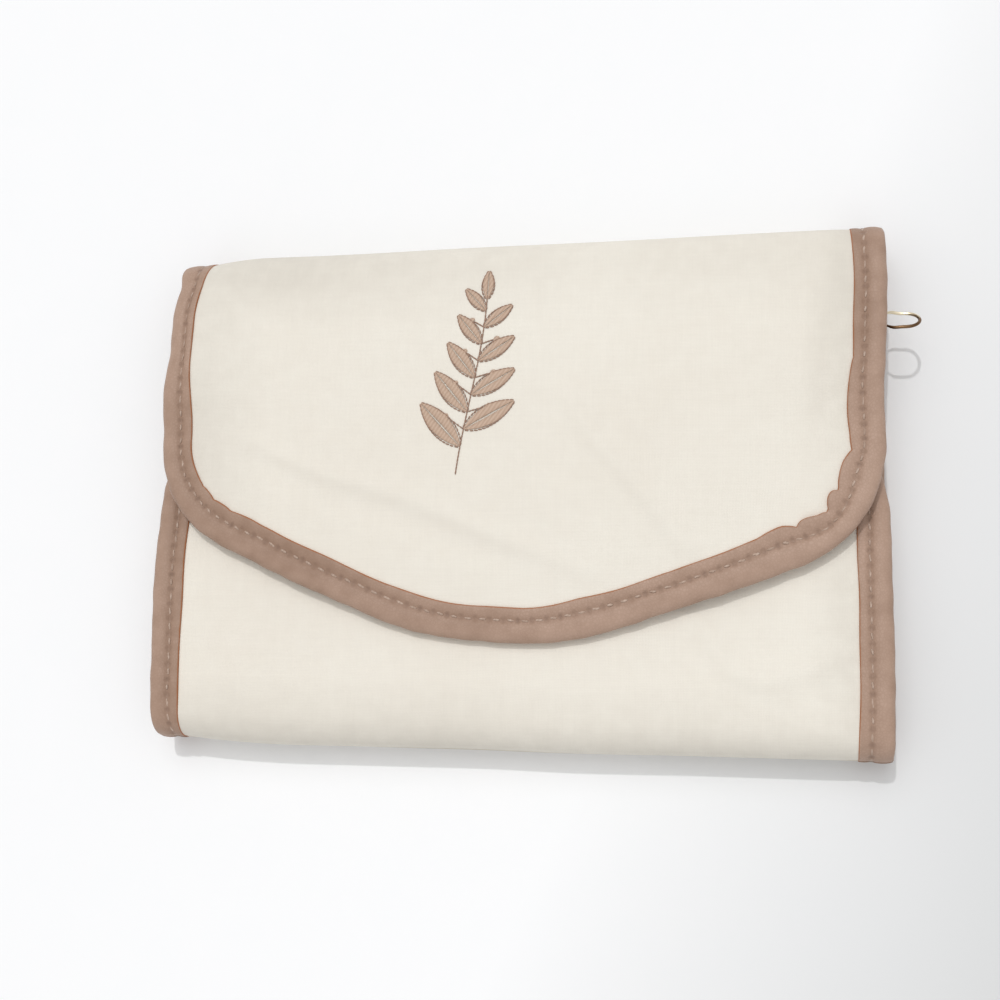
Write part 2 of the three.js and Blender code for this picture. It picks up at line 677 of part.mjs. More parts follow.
const flapZipY = topFold - flapZipBelowFold;
const backZipY = frontEdgeY + backZipAboveFrontEdge;
const flapPocketTop = flapZipY - tapeHalfWidth - pocketSeamGap;
const backPocketTop = backZipY - tapeHalfWidth - pocketSeamGap;
const frontPocketTop = frontEdgeY - frontPocketBelowEdge;
const flapLimit = solidOf(alongZ(flapOutline(bindingWidth + layerGap), planLow, planHigh));
addPocket('flap_pocket', flap, insideWidth / 2, flapPocketTop - flapPocketDepth, flapPocketTop, flapLimit);
addPocket('back_pocket', back, insideWidth / 2, bottomFold + backPocketAboveFold, backPocketTop, null);
addPocket('front_pocket', front, insideWidth / 2, bottomFold + frontPocketAboveFold, frontPocketTop, null);
addZip('flap_zip', seatOn(stationAt(flap, flapZipY), stack + layerGap + flapZipSag, true), flapPullLength);
addZip('back_zip', seatOn(stationAt(back, backZipY), stack + layerGap, true), backPullLength);
addRingBar();
addMagneticSnap(flap, front);

export default model;
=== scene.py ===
"""Travel jewelry organizer in its soft materials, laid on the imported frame, under a plain studio light.

The case is one bound and lined sheet of canvas that turns round two folds. Each soft piece is modelled flat,
as it is cut, and is then laid on the case's side profile, so that the layers keep their order. Lengths are
in metres, except where a note says millimetres. +X runs along the folds, +Y points to the top fold, and +Z
points up from the table.
"""

import logging
import math
from dataclasses import dataclass
from enum import Enum
from typing import Callable, Sequence

import bmesh
import bpy
import numpy as np
from mathutils import Matrix, Vector


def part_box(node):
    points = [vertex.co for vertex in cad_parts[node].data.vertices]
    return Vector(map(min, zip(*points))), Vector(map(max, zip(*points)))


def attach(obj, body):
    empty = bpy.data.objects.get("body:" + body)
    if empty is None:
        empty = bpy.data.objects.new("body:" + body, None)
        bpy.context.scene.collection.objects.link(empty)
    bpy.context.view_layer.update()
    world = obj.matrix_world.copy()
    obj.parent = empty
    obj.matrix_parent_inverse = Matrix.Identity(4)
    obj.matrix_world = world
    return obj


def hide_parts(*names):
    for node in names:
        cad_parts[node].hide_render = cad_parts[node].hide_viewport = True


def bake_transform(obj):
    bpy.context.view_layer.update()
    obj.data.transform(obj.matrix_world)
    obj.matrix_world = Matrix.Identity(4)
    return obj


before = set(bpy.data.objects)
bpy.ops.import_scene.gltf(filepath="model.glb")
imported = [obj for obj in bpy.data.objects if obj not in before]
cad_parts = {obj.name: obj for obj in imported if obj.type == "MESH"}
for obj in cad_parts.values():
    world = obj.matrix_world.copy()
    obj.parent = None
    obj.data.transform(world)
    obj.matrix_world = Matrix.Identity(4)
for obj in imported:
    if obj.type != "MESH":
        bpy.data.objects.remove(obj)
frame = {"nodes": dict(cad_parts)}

LOG = logging.getLogger("organizer")
MM = 0.001
QUARTER_TURN = math.pi / 2
CLOTH = "cloth"
BINDING_WIDTH = 11 * MM
STITCH_PITCH = 5.1 * MM
STITCH_ROW = 7.1 * MM
LINING_PITCH = 2.4 * MM
Mapping = Callable[[np.ndarray], np.ndarray]
PlanRow = tuple[float, float, float, float]


# Small tools


def tone(code: str) -> tuple[float, float, float, float]:
    """Turns a display colour into a linear one.

    Args:
        code: The colour as #rrggbb.

    Returns:
        Linear red, green, blue and an alpha of 1.
    """
    shares = [int(code[i : i + 2], 16) / 255 for i in (1, 3, 5)]
    linear = [s / 12.92 if s <= 0.04045 else ((s + 0.055) / 1.055) ** 2.4 for s in shares]
    return (linear[0], linear[1], linear[2], 1.0)


def ease(value: np.ndarray) -> np.ndarray:
    """Returns a smooth step from 0 to 1 as value goes from 0 to 1."""
    held = np.clip(value, 0.0, 1.0)
    return held * held * (3.0 - 2.0 * held)


def joined(*columns: np.ndarray) -> np.ndarray:
    """Returns rows made of the given columns."""
    return np.stack(columns, 1)


def vertex_rows(mesh: bpy.types.Mesh, key: str) -> np.ndarray:
    """Returns a row for each vertex: its place for the key co, or its normal for normal."""
    values = np.empty(len(mesh.vertices) * 3)
    mesh.vertices.foreach_get(key, values)
    return values.reshape(-1, 3)


def mesh_of(name: str, shape: bmesh.types.BMesh) -> bpy.types.Mesh:
    """Makes a mesh of a shape, which is freed.

    Args:
        name: The mesh's name.
        shape: The shape.

    Returns:
        The mesh.
    """
    mesh = bpy.data.meshes.new(name)
    shape.to_mesh(mesh)
    shape.free()
    return mesh


def show(name: str, data: bpy.types.ID) -> bpy.types.Object:
    """Makes an object of a mesh, a light or a camera and links it to the scene.

    Args:
        name: The object's name.
        data: What it shows.

    Returns:
        The object.
    """
    shown = bpy.data.objects.new(name, data)
    bpy.context.scene.collection.objects.link(shown)
    return shown


class Part(Enum):
    """The four stretches of the case's sheet, each cut at the middle of a fold."""

    FLAP = "flap"
    UPPER_BACK = "upper_back"
    LOWER_BACK = "lower_back"
    FRONT = "front"


class Side(Enum):
    """The two ends of the folds, by the sign of x."""

    LEFT = -1
    RIGHT = 1


# The case: its sizes, its side profile and how the cloth settles


@dataclass(frozen=True)
class CaseSizes:
    """Sizes of the closed case, as the CAD part has them."""

    half_width: float = 127 * MM
    height: float = 176 * MM
    top_radius: float = 12 * MM
    bottom_radius: float = 10 * MM
    point_y: float = -54 * MM
    edge_y: float = 15 * MM
    flap_corner: float = 45 * MM
    point_radius: float = 135 * MM
    point_angle: float = math.radians(20.7)
    front_corner: float = 16 * MM
    rise: float = math.radians(4.55)
    sink: float = math.radians(3.5)
    seat_gap: float = 0.45 * MM
    canvas: float = 0.9 * MM
    padding: float = 1.1 * MM
    lining: float = 0.5 * MM
    gap: float = 0.12 * MM
    binding: float = BINDING_WIDTH
    proud: float = 0.82 * MM

    @property
    def stack(self) -> float:
        """Thickness of the three layers with the gaps between them."""
        return self.canvas + self.padding + self.lining + 2 * self.gap

    @property
    def lining_depth(self) -> float:
        """Depth of the lining's outer face under the canvas's outer face."""
        return self.stack - self.lining


class Profile:
    """The closed case's side view, as a fine line on the outer face from the flap's point to the front edge.

    Each place on it has a run length s, a y and a z, and the angle of the outward normal: pi on top, 0 below.
    """

    step = 0.25 * MM
    past_point = 4 * MM
    past_edge = 4 * MM

    def __init__(self, sizes: CaseSizes) -> None:
        """Works out the line.

        Args:
            sizes: The case's sizes.
        """
        self.sizes = sizes
        half = sizes.height / 2
        self.front_turn = math.pi + sizes.sink
        rows = [self._crown()]
        rows.append(self._arc(half - sizes.top_radius, sizes.top_radius, math.pi - sizes.rise, 0.0))
        flat_y = np.arange(half - sizes.top_radius, sizes.bottom_radius - half, -self.step)
        rows.append(joined(flat_y, 0 * flat_y, 0 * flat_y))
        rows.append(self._arc(sizes.bottom_radius - half, sizes.bottom_radius, 0.0, -self.front_turn))
        last = rows[-1][-1]
        front_y = np.arange(last[0] + self.step, sizes.edge_y + self.past_edge, self.step)
        front_z = last[1] - (front_y - last[0]) * math.tan(sizes.sink)
        rows.append(joined(front_y, front_z, 0 * front_y - self.front_turn))
        line = np.concatenate(rows)
        keep = np.concatenate([[True], np.linalg.norm(np.diff(line[:, :2], axis=0), axis=1) > 1e-7])
        self.y, self.z, self.angle = line[keep].T
        self.s = np.concatenate([[0.0], np.cumsum(np.hypot(np.diff(self.y), np.diff(self.z)))])
        self.top_middle = float(np.interp(-QUARTER_TURN, -self.angle, self.s))
        self.bottom_middle = float(np.interp(QUARTER_TURN, -self.angle, self.s))
        back = (self.s > self.top_middle) & (self.s < self.bottom_middle)
        self.back_middle = float(np.interp(0.0, -self.y[back], self.s[back]))

    def _arc(self, centre_y: float, radius: float, from_angle: float, to_angle: float) -> np.ndarray:
        """Returns the rows of y, z and angle of a fold's arc.

        Args:
            centre_y: The y of the arc's centre, which lies one radius above the table.
            radius: The arc's radius.
            from_angle: The outward normal's angle where it starts.
            to_angle: The angle where it ends.
        """
        count = int(abs(to_angle - from_angle) * radius / self.step) + 2
        angles = np.linspace(from_angle, to_angle, count)
        return joined(centre_y + radius * np.sin(angles), radius - radius * np.cos(angles), angles)

    def front_height(self, y: float) -> float:
        """Returns the height of the front panel's outer face at y."""
        sizes = self.sizes
        centre_y = sizes.bottom_radius - sizes.height / 2
        start_y = centre_y + sizes.bottom_radius * math.sin(-self.front_turn)
        start_z = sizes.bottom_radius - sizes.bottom_radius * math.cos(self.front_turn)
        return start_z - (y - start_y) * math.tan(sizes.sink)

    def _crown(self) -> np.ndarray:
        """Returns the flap's arch as rows of y, z and angle, from a little past its point to the top fold."""
        sizes = self.sizes
        lean = math.pi - sizes.rise
        start = np.array([sizes.height / 2 - sizes.top_radius, sizes.top_radius])
        out = np.array([math.sin(lean), -math.cos(lean)])
        start = start + sizes.top_radius * out
        point_z = self.front_height(sizes.point_y) + sizes.seat_gap + sizes.stack + sizes.proud
        chord = np.array([sizes.point_y, point_z]) - start
        radius = chord @ chord / 2 / (chord @ -out)
        turn = 2 * math.asin(math.sqrt(chord @ chord) / 2 / radius)
        centre = start - radius * out
        over = self.past_point / radius
        angles = np.linspace(lean + turn + over, lean, int(radius * turn / self.step))
        return joined(centre[0] + radius * np.sin(angles), centre[1] - radius * np.cos(angles), angles)

    def span(self, part: Part) -> tuple[float, float]:
        """Returns the run lengths between which a part lies, past its free edge."""
        return {
            Part.FLAP: (0.0, self.top_middle),
            Part.UPPER_BACK: (self.top_middle, self.back_middle),
            Part.LOWER_BACK: (self.back_middle, self.bottom_middle),
            Part.FRONT: (self.bottom_middle, float(self.s[-1])),
        }[part]

    def run_at(self, part: Part, y: np.ndarray) -> np.ndarray:
        """Returns the run lengths at given y values on a part.

        Args:
            part: The part, on which y rises or falls all the way.
            y: The y values.
        """
        low, high = self.span(part)
        inside = (self.s >= low - 1e-9) & (self.s <= high + 1e-9)
        line_y, line_s = self.y[inside], self.s[inside]
        order = np.argsort(line_y)
        return np.interp(y, line_y[order], line_s[order])


END_HEIGHT = 0.2  # the share of a crease's height that is left at its ends


@dataclass(frozen=True)
class Crease:
    """A soft ridge, or a dip where its height is negative, along a line of plan points."""

    part: Part
    points: tuple[tuple[float, float], ...]
    width: float
    height: float

    def at(self, x: np.ndarray, y: np.ndarray) -> np.ndarray:
        """Returns how far the cloth stands out at plan places.

        Args:
            x: The x values.
            y: The y values.
        """
        best = np.full(x.shape, np.inf)
        place = joined(x, y)
        lengths = [math.dist(a, b) for a, b in zip(self.points, self.points[1:])]
        total, run, along = sum(lengths), 0.0, np.zeros(x.shape)
        for (a, b), length in zip(zip(self.points, self.points[1:]), lengths):
            start, way = np.array(a), np.array(b) - np.array(a)
            share = np.clip((place - start) @ way / (way @ way), 0, 1)
            distance = np.linalg.norm(place - start - share[:, None] * way, axis=1)
            nearer = distance < best
            along = np.where(nearer, (run + share * length) / total, along)
            best = np.minimum(best, distance)
            run += length
        ends = END_HEIGHT + (1 - END_HEIGHT) * np.sqrt(np.clip(4 * along * (1 - along), 0, 1))
        return self.height * ends * np.exp(-((best / self.width) ** 2))


def crease(part: Part, width: float, height: float, *points: tuple[float, float]) -> Crease:
    """Returns a crease from lengths in millimetres.

    Args:
        part: The part.
        width: Half the crease's width.
        height: How far it stands out.
        *points: Its plan points.
    """
    return Crease(part, tuple((x * MM, y * MM) for x, y in points), width * MM, height * MM)


CREASES = (
    crease(Part.FLAP, 3.6, 1.1, (-101, 17), (-66, 3), (-37, -4.5), (-9, -16.5), (32, -31.5)),
    crease(Part.FLAP, 6, -0.6, (-97, 8), (-60, -6), (-30, -16), (4, -29)),
    crease(Part.FLAP, 3.4, 1.4, (17, 33), (30, 14), (48.5, -6.7), (65, -26.7)),
    crease(Part.FLAP, 6, -0.6, (6, 24), (22, 2), (38, -18)),
    crease(Part.FLAP, 9, -1.2, (-104, 68), (-98, 44), (-88, 16)),
    crease(Part.FLAP, 7, -1.6, (112, 62), (110, 30), (104, 6)),
    crease(Part.FLAP, 10, -0.4, (-60, 78), (0, 74), (60, 78)),
    crease(Part.FRONT, 3.8, 1.2, (58, -42), (64.6, -45.6), (74.3, -61.7), (87.1, -64.7), (112, -56.3)),
    crease(Part.FRONT, 5, -0.5, (60, -52), (71, -69), (90, -73), (112, -67)),
    crease(Part.FRONT, 9, -0.5, (-105, -30), (-98, -60)),
    crease(Part.FRONT, 2.5, 0.5, (-46, -71), (-38, -77), (-30, -73)),
)


class Nudges:
    """Small shifts that the soft case has taken, smooth between the places given.

    Each row is a place's x, y and z and its shift in x, y and z, all in millimetres. A row of no shift holds
    the case still there.
    """

    reach = 30.0
    height_weight = 1.6
    slack = 0.02
    places = (
        (-122, 78, 18, -1.4, 0.3, 0), (-108, 88, 12, 0.0, 0.7, 0), (-125, 52, 22, -0.6, 0.0, 0),
        (-125, 26, 22, -0.3, 0.0, 0), (-124, 5, 21, -0.9, 0.4, 0), (-127, -8, 15, -1.4, 0.0, 0),
        (-112, -15, 21, -0.4, 1.7, 0), (-99, -22, 21, 0.0, 2.6, 0), (-86, -28, 21, 0.0, 1.4, 0),
        (-66, -36, 21, 0.0, 0.5, 0), (-30, -50, 21, 0.0, -0.5, 0), (10, -54, 21, 0.0, -0.9, 0),
        (55, -43, 21, 0.0, -0.9, 0), (76, -34, 21, 0.0, -1.9, 0), (92, -28, 21, 0.0, -1.9, 0),
        (106, -21, 21, 0.3, -1.7, 0), (119, -9, 21, 0.6, -0.6, 0), (125, 8, 21, 0.0, 0.0, 0),
        (125, 40, 22, -0.2, 0.0, 0), (126, 76, 18, 0.2, 0.0, 0), (0, 20, 26, 0, 0, 0), (-60, 15, 25, 0, 0, 0),
        (60, 15, 25, 0, 0, 0), (0, 60, 24, 0, 0, 0), (-60, 60, 24, 0, 0, 0), (60, 60, 24, 0, 0, 0),
        (-127, -30, 16, -1.6, 0, 0), (-127, -48, 16, -1.3, 0, 0), (-127, -61, 15, -0.3, 0, 0),
        (-126, -73, 12, 1.0, 0, 0), (-123, -86, 8, 0.5, 1.4, 0), (-96, -88, 9, 0, 0.2, 0),
        (0, -88, 9, 0, 0, 0), (110, -88, 9, 0, 0.2, 0), (127, -70, 14, 0.3, 0, 0), (127, -45, 16, 0.1, 0, 0),
        (127, -26, 17, 0.6, 0, 0), (127, 8, 14, -1.0, 0, 0), (0, 0, 0, 0, 0, 0), (100, 0, 0, 0, 0, 0),
        (-100, 0, 0, 0, 0, 0), (0, -50, 18, 0, 0, 0), (60, -65, 18, 0, 0, 0), (-60, -65, 18, 0, 0, 0),
    )

    def __init__(self) -> None:
        """Works out the weight of each place."""
        rows = np.array(self.places, dtype=float)
        self.points = rows[:, :3] * (1, 1, self.height_weight)
        kernel = self.near(self.points)
        self.weights = np.linalg.solve(kernel + self.slack * np.eye(len(rows)), rows[:, 3:])

    def near(self, points: np.ndarray) -> np.ndarray:
        """Returns how near each point is to each place, 1 on it."""
        apart = ((points[:, None, :] - self.points[None, :, :]) ** 2).sum(2)
        return np.exp(-apart / self.reach**2)

    def at(self, x: np.ndarray, y: np.ndarray, z: np.ndarray) -> np.ndarray:
        """Returns the shifts at places.

        Args:
            x: The x values, in millimetres like the rest.
            y: The y values.
            z: The z values.
        """
        return self.near(joined(x, y, z * self.height_weight)) @ self.weights


class Case:
    """The case as a surface: lays flat cloth on the profile and lets it settle as in the photograph."""

    puff_fade = 14 * MM
    crease_fade = 8 * MM
    wave_height = 0.10 * MM
    seam_dip = 0.30 * MM
    seam_dip_width = 4 * MM

    def __init__(self, sizes: CaseSizes) -> None:
        """Makes the profile.

        Args:
            sizes: The case's sizes.
        """
        self.sizes = sizes
        self.profile = Profile(sizes)
        self.nudges = Nudges()

    def flap_edge(self, x: np.ndarray, inset: float) -> np.ndarray:
        """Returns the y of the flap's free edge at each x.

        Args:
            x: The x values.
            inset: How far inside the outer edge.
        """
        s = self.sizes
        across = np.abs(x)
        half, corner = s.half_width - inset, s.flap_corner - inset
        radius, point = s.point_radius - inset, s.point_y + inset
        apex = point - radius * (1 / math.cos(s.point_angle) - 1)
        level = apex + half * math.tan(s.point_angle) + corner * math.tan((QUARTER_TURN - s.point_angle) / 2)
        centre_x = half - corner
        tip = point + radius - np.sqrt(np.clip(radius**2 - across**2, 0, None))
        slant = apex + across * math.tan(s.point_angle)
        bend = level - np.sqrt(np.clip(corner**2 - (across - centre_x) ** 2, 0, None))
        y = np.where(across < radius * math.sin(s.point_angle), tip, slant)
        return np.where(across > centre_x + corner * math.sin(s.point_angle), bend, y)

    def front_edge(self, x: np.ndarray, inset: float) -> np.ndarray:
        """Returns the y of the front panel's free edge at each x.

        Args:
            x: The x values.
            inset: How far inside the outer edge.
        """
        s = self.sizes
        half, corner = s.half_width - inset, s.front_corner - inset
        past = np.clip(np.abs(x) - (half - corner), 0, corner)
        return s.edge_y - inset - corner + np.sqrt(np.clip(corner**2 - past**2, 0, None))

    def relief(self, x: np.ndarray, s: np.ndarray, part: Part) -> np.ndarray:
        """Returns how far the outer face stands out at places on a part: creases, puff and slow waves.

        Args:
            x: The x values.
            s: The run lengths.
            part: The part.
        """
        sizes, profile = self.sizes, self.profile
        y = np.interp(s, profile.s, profile.y)
        room = sizes.half_width - sizes.binding - np.abs(x)
        if part is Part.FLAP:
            room = np.minimum(room, (y - self.flap_edge(x, sizes.binding)) * 0.95)
        if part is Part.FRONT:
            room = np.minimum(room, np.maximum(sizes.edge_y - sizes.binding - y, 0.0))
        waves = np.sin(41 * x + 17 * y + 0.7) + np.sin(37 * y - 23 * x + 2.1)
        waves = waves + 0.6 * np.sin(67 * x - 49 * y + 1.3)
        out = self.wave_height * waves * ease(room / self.puff_fade)
        out = out - self.seam_dip * np.exp(-np.clip(room, 0, None) / self.seam_dip_width)
        for fold in CREASES:
            if fold.part is part:
                out = out + fold.at(x, y) * ease(room / self.crease_fade)
        if part in (Part.UPPER_BACK, Part.LOWER_BACK):
            flat = ease((sizes.height / 2 - 13 * MM - np.abs(y)) / (8 * MM))
            out = np.minimum(out, 0.0) * flat
        if part is Part.FRONT:
            out = out * (1 - 0.8 * ease((y + 46 * MM) / (14 * MM)))
        return out

    def settle(self, place: np.ndarray, part: Part) -> np.ndarray:
        """Moves places from the true case to the soft one, whose corners and folds are a little out of true.

        The numbers are in millimetres: ease((y - 60) / 27) grows from 0 to 1 as y goes from 60 to 87.

        Args:
            place: Rows of x, y and z.
            part: The part that they lie on.

        Returns:
            The rows moved.
        """
        x, y, z = place.T / MM
        # The whole case: its top left corner, its right side, its two folds and its bottom left corner.
        corner = ease((y - 60) / 27) * ease((-x - 55) / 65)
        right, upper = ease((x - 80) / 45), ease((y - 10) / 30)
        dx = 4.2 * corner - right * (1.0 + 0.7 * upper)
        dy = -1.7 * ease((y - 66) / 22) * ease((-x - 96) / 30)
        dy = dy + (0.013 * x - 0.7 - 0.00003 * x * x) * ease((y - 52) / 34)
        dy = dy - (1.7 + 0.004 * x - 0.00002 * x * x) * ease((-y - 54) / 34)
        dx = dx + 0.35 * np.sin(0.105 * y + 0.9) * ease((np.abs(x) - 70) / 50)
        dx = dx + 1.6 * ease((-y - 66) / 24) * ease((-x - 100) / 27)
        lift = 0 * x
        if part is Part.FLAP:
            # The flap's two corners pull in and sink onto the front panel.
            beyond = ease((46 - y) / 30)
            dx = dx - 1.7 * beyond * ease((x - 50) / 70) * ease((y + 16) / 22)
            dx = dx + 1.5 * beyond * ease((-x - 50) / 70)
            lift = lift - 2.4 * beyond * ease((np.abs(x) - 62) / 50)
        if part is Part.FRONT:
            dx = dx - 1.6 * ease((y + 12) / 16) * ease((x - 90) / 30)
        if part in (Part.FLAP, Part.UPPER_BACK):
            # The left binding curls in below the top fold.
            curl = ease((-x - 113) / 14) * ease((y - 28) / 22) * ease((88 - y) / 14)
            dx, lift = dx + 2.1 * curl, lift - 1.6 * curl * ease((z - 8) / 10)
        moved = self.nudges.at(x, y, z)
        dx, dy, lift = dx + moved[:, 0], dy + moved[:, 1], lift + moved[:, 2]
        return joined(x + dx, y + dy, z + lift) * MM

    def place(self, flat: np.ndarray, part: Part) -> np.ndarray:
        """Lays flat cloth on the case.

        Args:
            flat: Rows of x, run length and depth under the outer face.
            part: The part that the cloth is on.

        Returns:
            Rows of x, y and z.
        """
        x, s, depth = flat.T
        profile = self.profile
        soft = self.sizes.canvas + self.sizes.padding
        fade = np.clip(1 - depth / soft, 0.0, 1.0)
        sunk = depth - self.relief(x, s, part) * fade
        angle = np.interp(s, profile.s, profile.angle)
        y = np.interp(s, profile.s, profile.y) - np.sin(angle) * sunk
        z = np.interp(s, profile.s, profile.z) + np.cos(angle) * sunk
        return self.settle(joined(x, y, z), part)


class Trace:
    """A line on a part's flat cloth, with places given by run, distance to the inner side, and depth.

    extra is how much wider the binding is than usual, at each of the line's points.
    """

    step = 1.0 * MM

    def __init__(self, points: np.ndarray, inner: np.ndarray) -> None:
        """Spaces the line evenly.

        Args:
            points: Rows of x and run length.
            inner: A point on the inner side of the line.
        """
        lengths = np.concatenate([[0.0], np.cumsum(np.linalg.norm(np.diff(points, axis=0), axis=1))])
        self.length = float(lengths[-1])
        count = int(self.length / self.step) + 1
        self.t = np.linspace(0, self.length, count)
        self.x = np.interp(self.t, lengths, points[:, 0])
        self.s = np.interp(self.t, lengths, points[:, 1])
        way = joined(np.gradient(self.x, self.t), np.gradient(self.s, self.t))
        way /= np.linalg.norm(way, axis=1)[:, None]
        normal = joined(-way[:, 1], way[:, 0])
        middle = joined(self.x, self.s)[count // 2]
        if normal[count // 2] @ (inner - middle) < 0:
            normal = -normal
        self.normal = normal
        self.extra = 0 * self.t

    def flat(self, rows: np.ndarray) -> np.ndarray:
        """Turns rows of run, distance to the inner side, and depth into flat cloth places.

        Args:
            rows: The rows.

        Returns:
            Rows of x, run length and depth.
        """
        t, inward, depth = rows.T
        held = np.clip(t, 0, self.length)
        over = t - held
        inward = inward * (1 + np.interp(held, self.t, self.extra) / BINDING_WIDTH)
        nx = np.interp(held, self.t, self.normal[:, 0])
        ns = np.interp(held, self.t, self.normal[:, 1])
        size = np.hypot(nx, ns)
        nx, ns = nx / size, ns / size
        x = np.interp(held, self.t, self.x) + nx * inward
        s = np.interp(held, self.t, self.s) + ns * inward
        dx, ds = self.x[1] - self.x[0], self.s[1] - self.s[0]
        turn = np.sign(self.normal[0, 0] * ds - self.normal[0, 1] * dx)
        return joined(x + over * ns * turn, s + over * nx * turn, depth)


# How much wider the flap's binding looks than usual at each x, in millimetres.
FLAP_WIDENING = (
    (-127, 0.0), (-118, 0.5), (-108, 1.4), (-88, 2.0), (-60, 1.5), (-40, 1.4), (-12, 0.5), (8, 0.6),
    (28, 1.8), (45, 1.5), (60, 1.0), (75, 1.6), (88, 2.0), (96, 2.7), (103, 1.1), (110, -1.1), (116, -0.5),
    (121, 0.6), (125, 1.1), (126.9, 0.3), (127, 0.0),
)


def flap_trace(case: Case) -> Trace:
    """Returns the flap's edge from the top fold's middle down the right, round the point and up the left."""
    s = case.sizes
    half, corner = s.half_width, s.flap_corner
    apex = s.point_y - s.point_radius * (1 / math.cos(s.point_angle) - 1)
    corner_turn = QUARTER_TURN - s.point_angle
    level = apex + half * math.tan(s.point_angle) + corner * math.tan(corner_turn / 2)
    down = np.linspace(s.height / 2 - s.top_radius, level, 60)[:-1]
    angles = np.linspace(0, -corner_turn, 60)
    bend = joined(half - corner + corner * np.cos(angles), level + corner * np.sin(angles))
    angles = np.linspace(-corner_turn, -QUARTER_TURN, 40)
    tip = joined(s.point_radius * np.cos(angles), s.point_y + s.point_radius * (1 + np.sin(angles)))
    right = np.concatenate([joined(0 * down + half, down), bend, tip])
    left = right[-2::-1] * np.array([-1, 1])
    plan = np.concatenate([right, left])
    run = case.profile.run_at(Part.FLAP, plan[:, 1])
    rows = joined(plan[:, 0], run)
    top = case.profile.top_middle
    rows = np.concatenate([[[half, top]], rows, [[-half, top]]])
    trace = Trace(rows, np.array([0.0, top]))
    widths = np.array(FLAP_WIDENING)
    trace.extra = np.interp(trace.x / MM, widths[:, 0], widths[:, 1]) * MM
    return trace


def front_trace(case: Case) -> Trace:
    """Returns the front panel's edge from the bottom fold's middle up the right, across and down the left."""
    s = case.sizes
    half, corner = s.half_width, s.front_corner
    angles = np.linspace(0, QUARTER_TURN, 40)
    bend = joined(half - corner + corner * np.cos(angles), s.edge_y - corner + corner * np.sin(angles))
    right = joined(bend[:, 0], case.profile.run_at(Part.FRONT, bend[:, 1]))
    left = right[::-1] * np.array([-1, 1])
    bottom = case.profile.bottom_middle
    rows = np.concatenate([[[half, bottom]], right, left, [[-half, bottom]]])
    return Trace(rows, np.array([0.0, bottom]))


# Where the cloth bends


@dataclass(frozen=True)
class Bend:
    """A fold's mitre between two CAD bodies, with its centre, its direction and its reach."""

    body_a: str
    body_b: str
    centre: tuple[float, float]
    way: tuple[float, float]
    reach: float = 4.2 * MM

    def apply(self, piece: bpy.types.Object) -> None:
        """Bakes a piece's placement into its mesh; nothing here makes it bend."""
        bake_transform(piece)


TOP_SLUMP = 1.8 * MM  # how far the soft top fold has sunk towards the panels


def make_bends(sizes: CaseSizes) -> dict[Part, Bend]:
    """Returns the bend of each part.

    Args:
        sizes: The case's sizes.
    """
    share = math.sqrt(0.5)
    top_y = sizes.height / 2 - sizes.top_radius - TOP_SLUMP
    low_y = sizes.bottom_radius - sizes.height / 2
    top, low = sizes.top_radius, sizes.bottom_radius
    top_out, low_out = top * share, low * share
    return {
        Part.FLAP: Bend("top_fold", "flap", (top_y + top_out, top + top_out), (-share, share)),
        Part.UPPER_BACK: Bend("back", "top_fold", (top_y + top_out, top - top_out), (share, share)),
        Part.LOWER_BACK: Bend("back", "bottom_fold", (low_y - low_out, low - low_out), (-share, share)),
        Part.FRONT: Bend("bottom_fold", "front", (low_y - low_out, low + low_out), (share, share)),
    }


# Shader groups


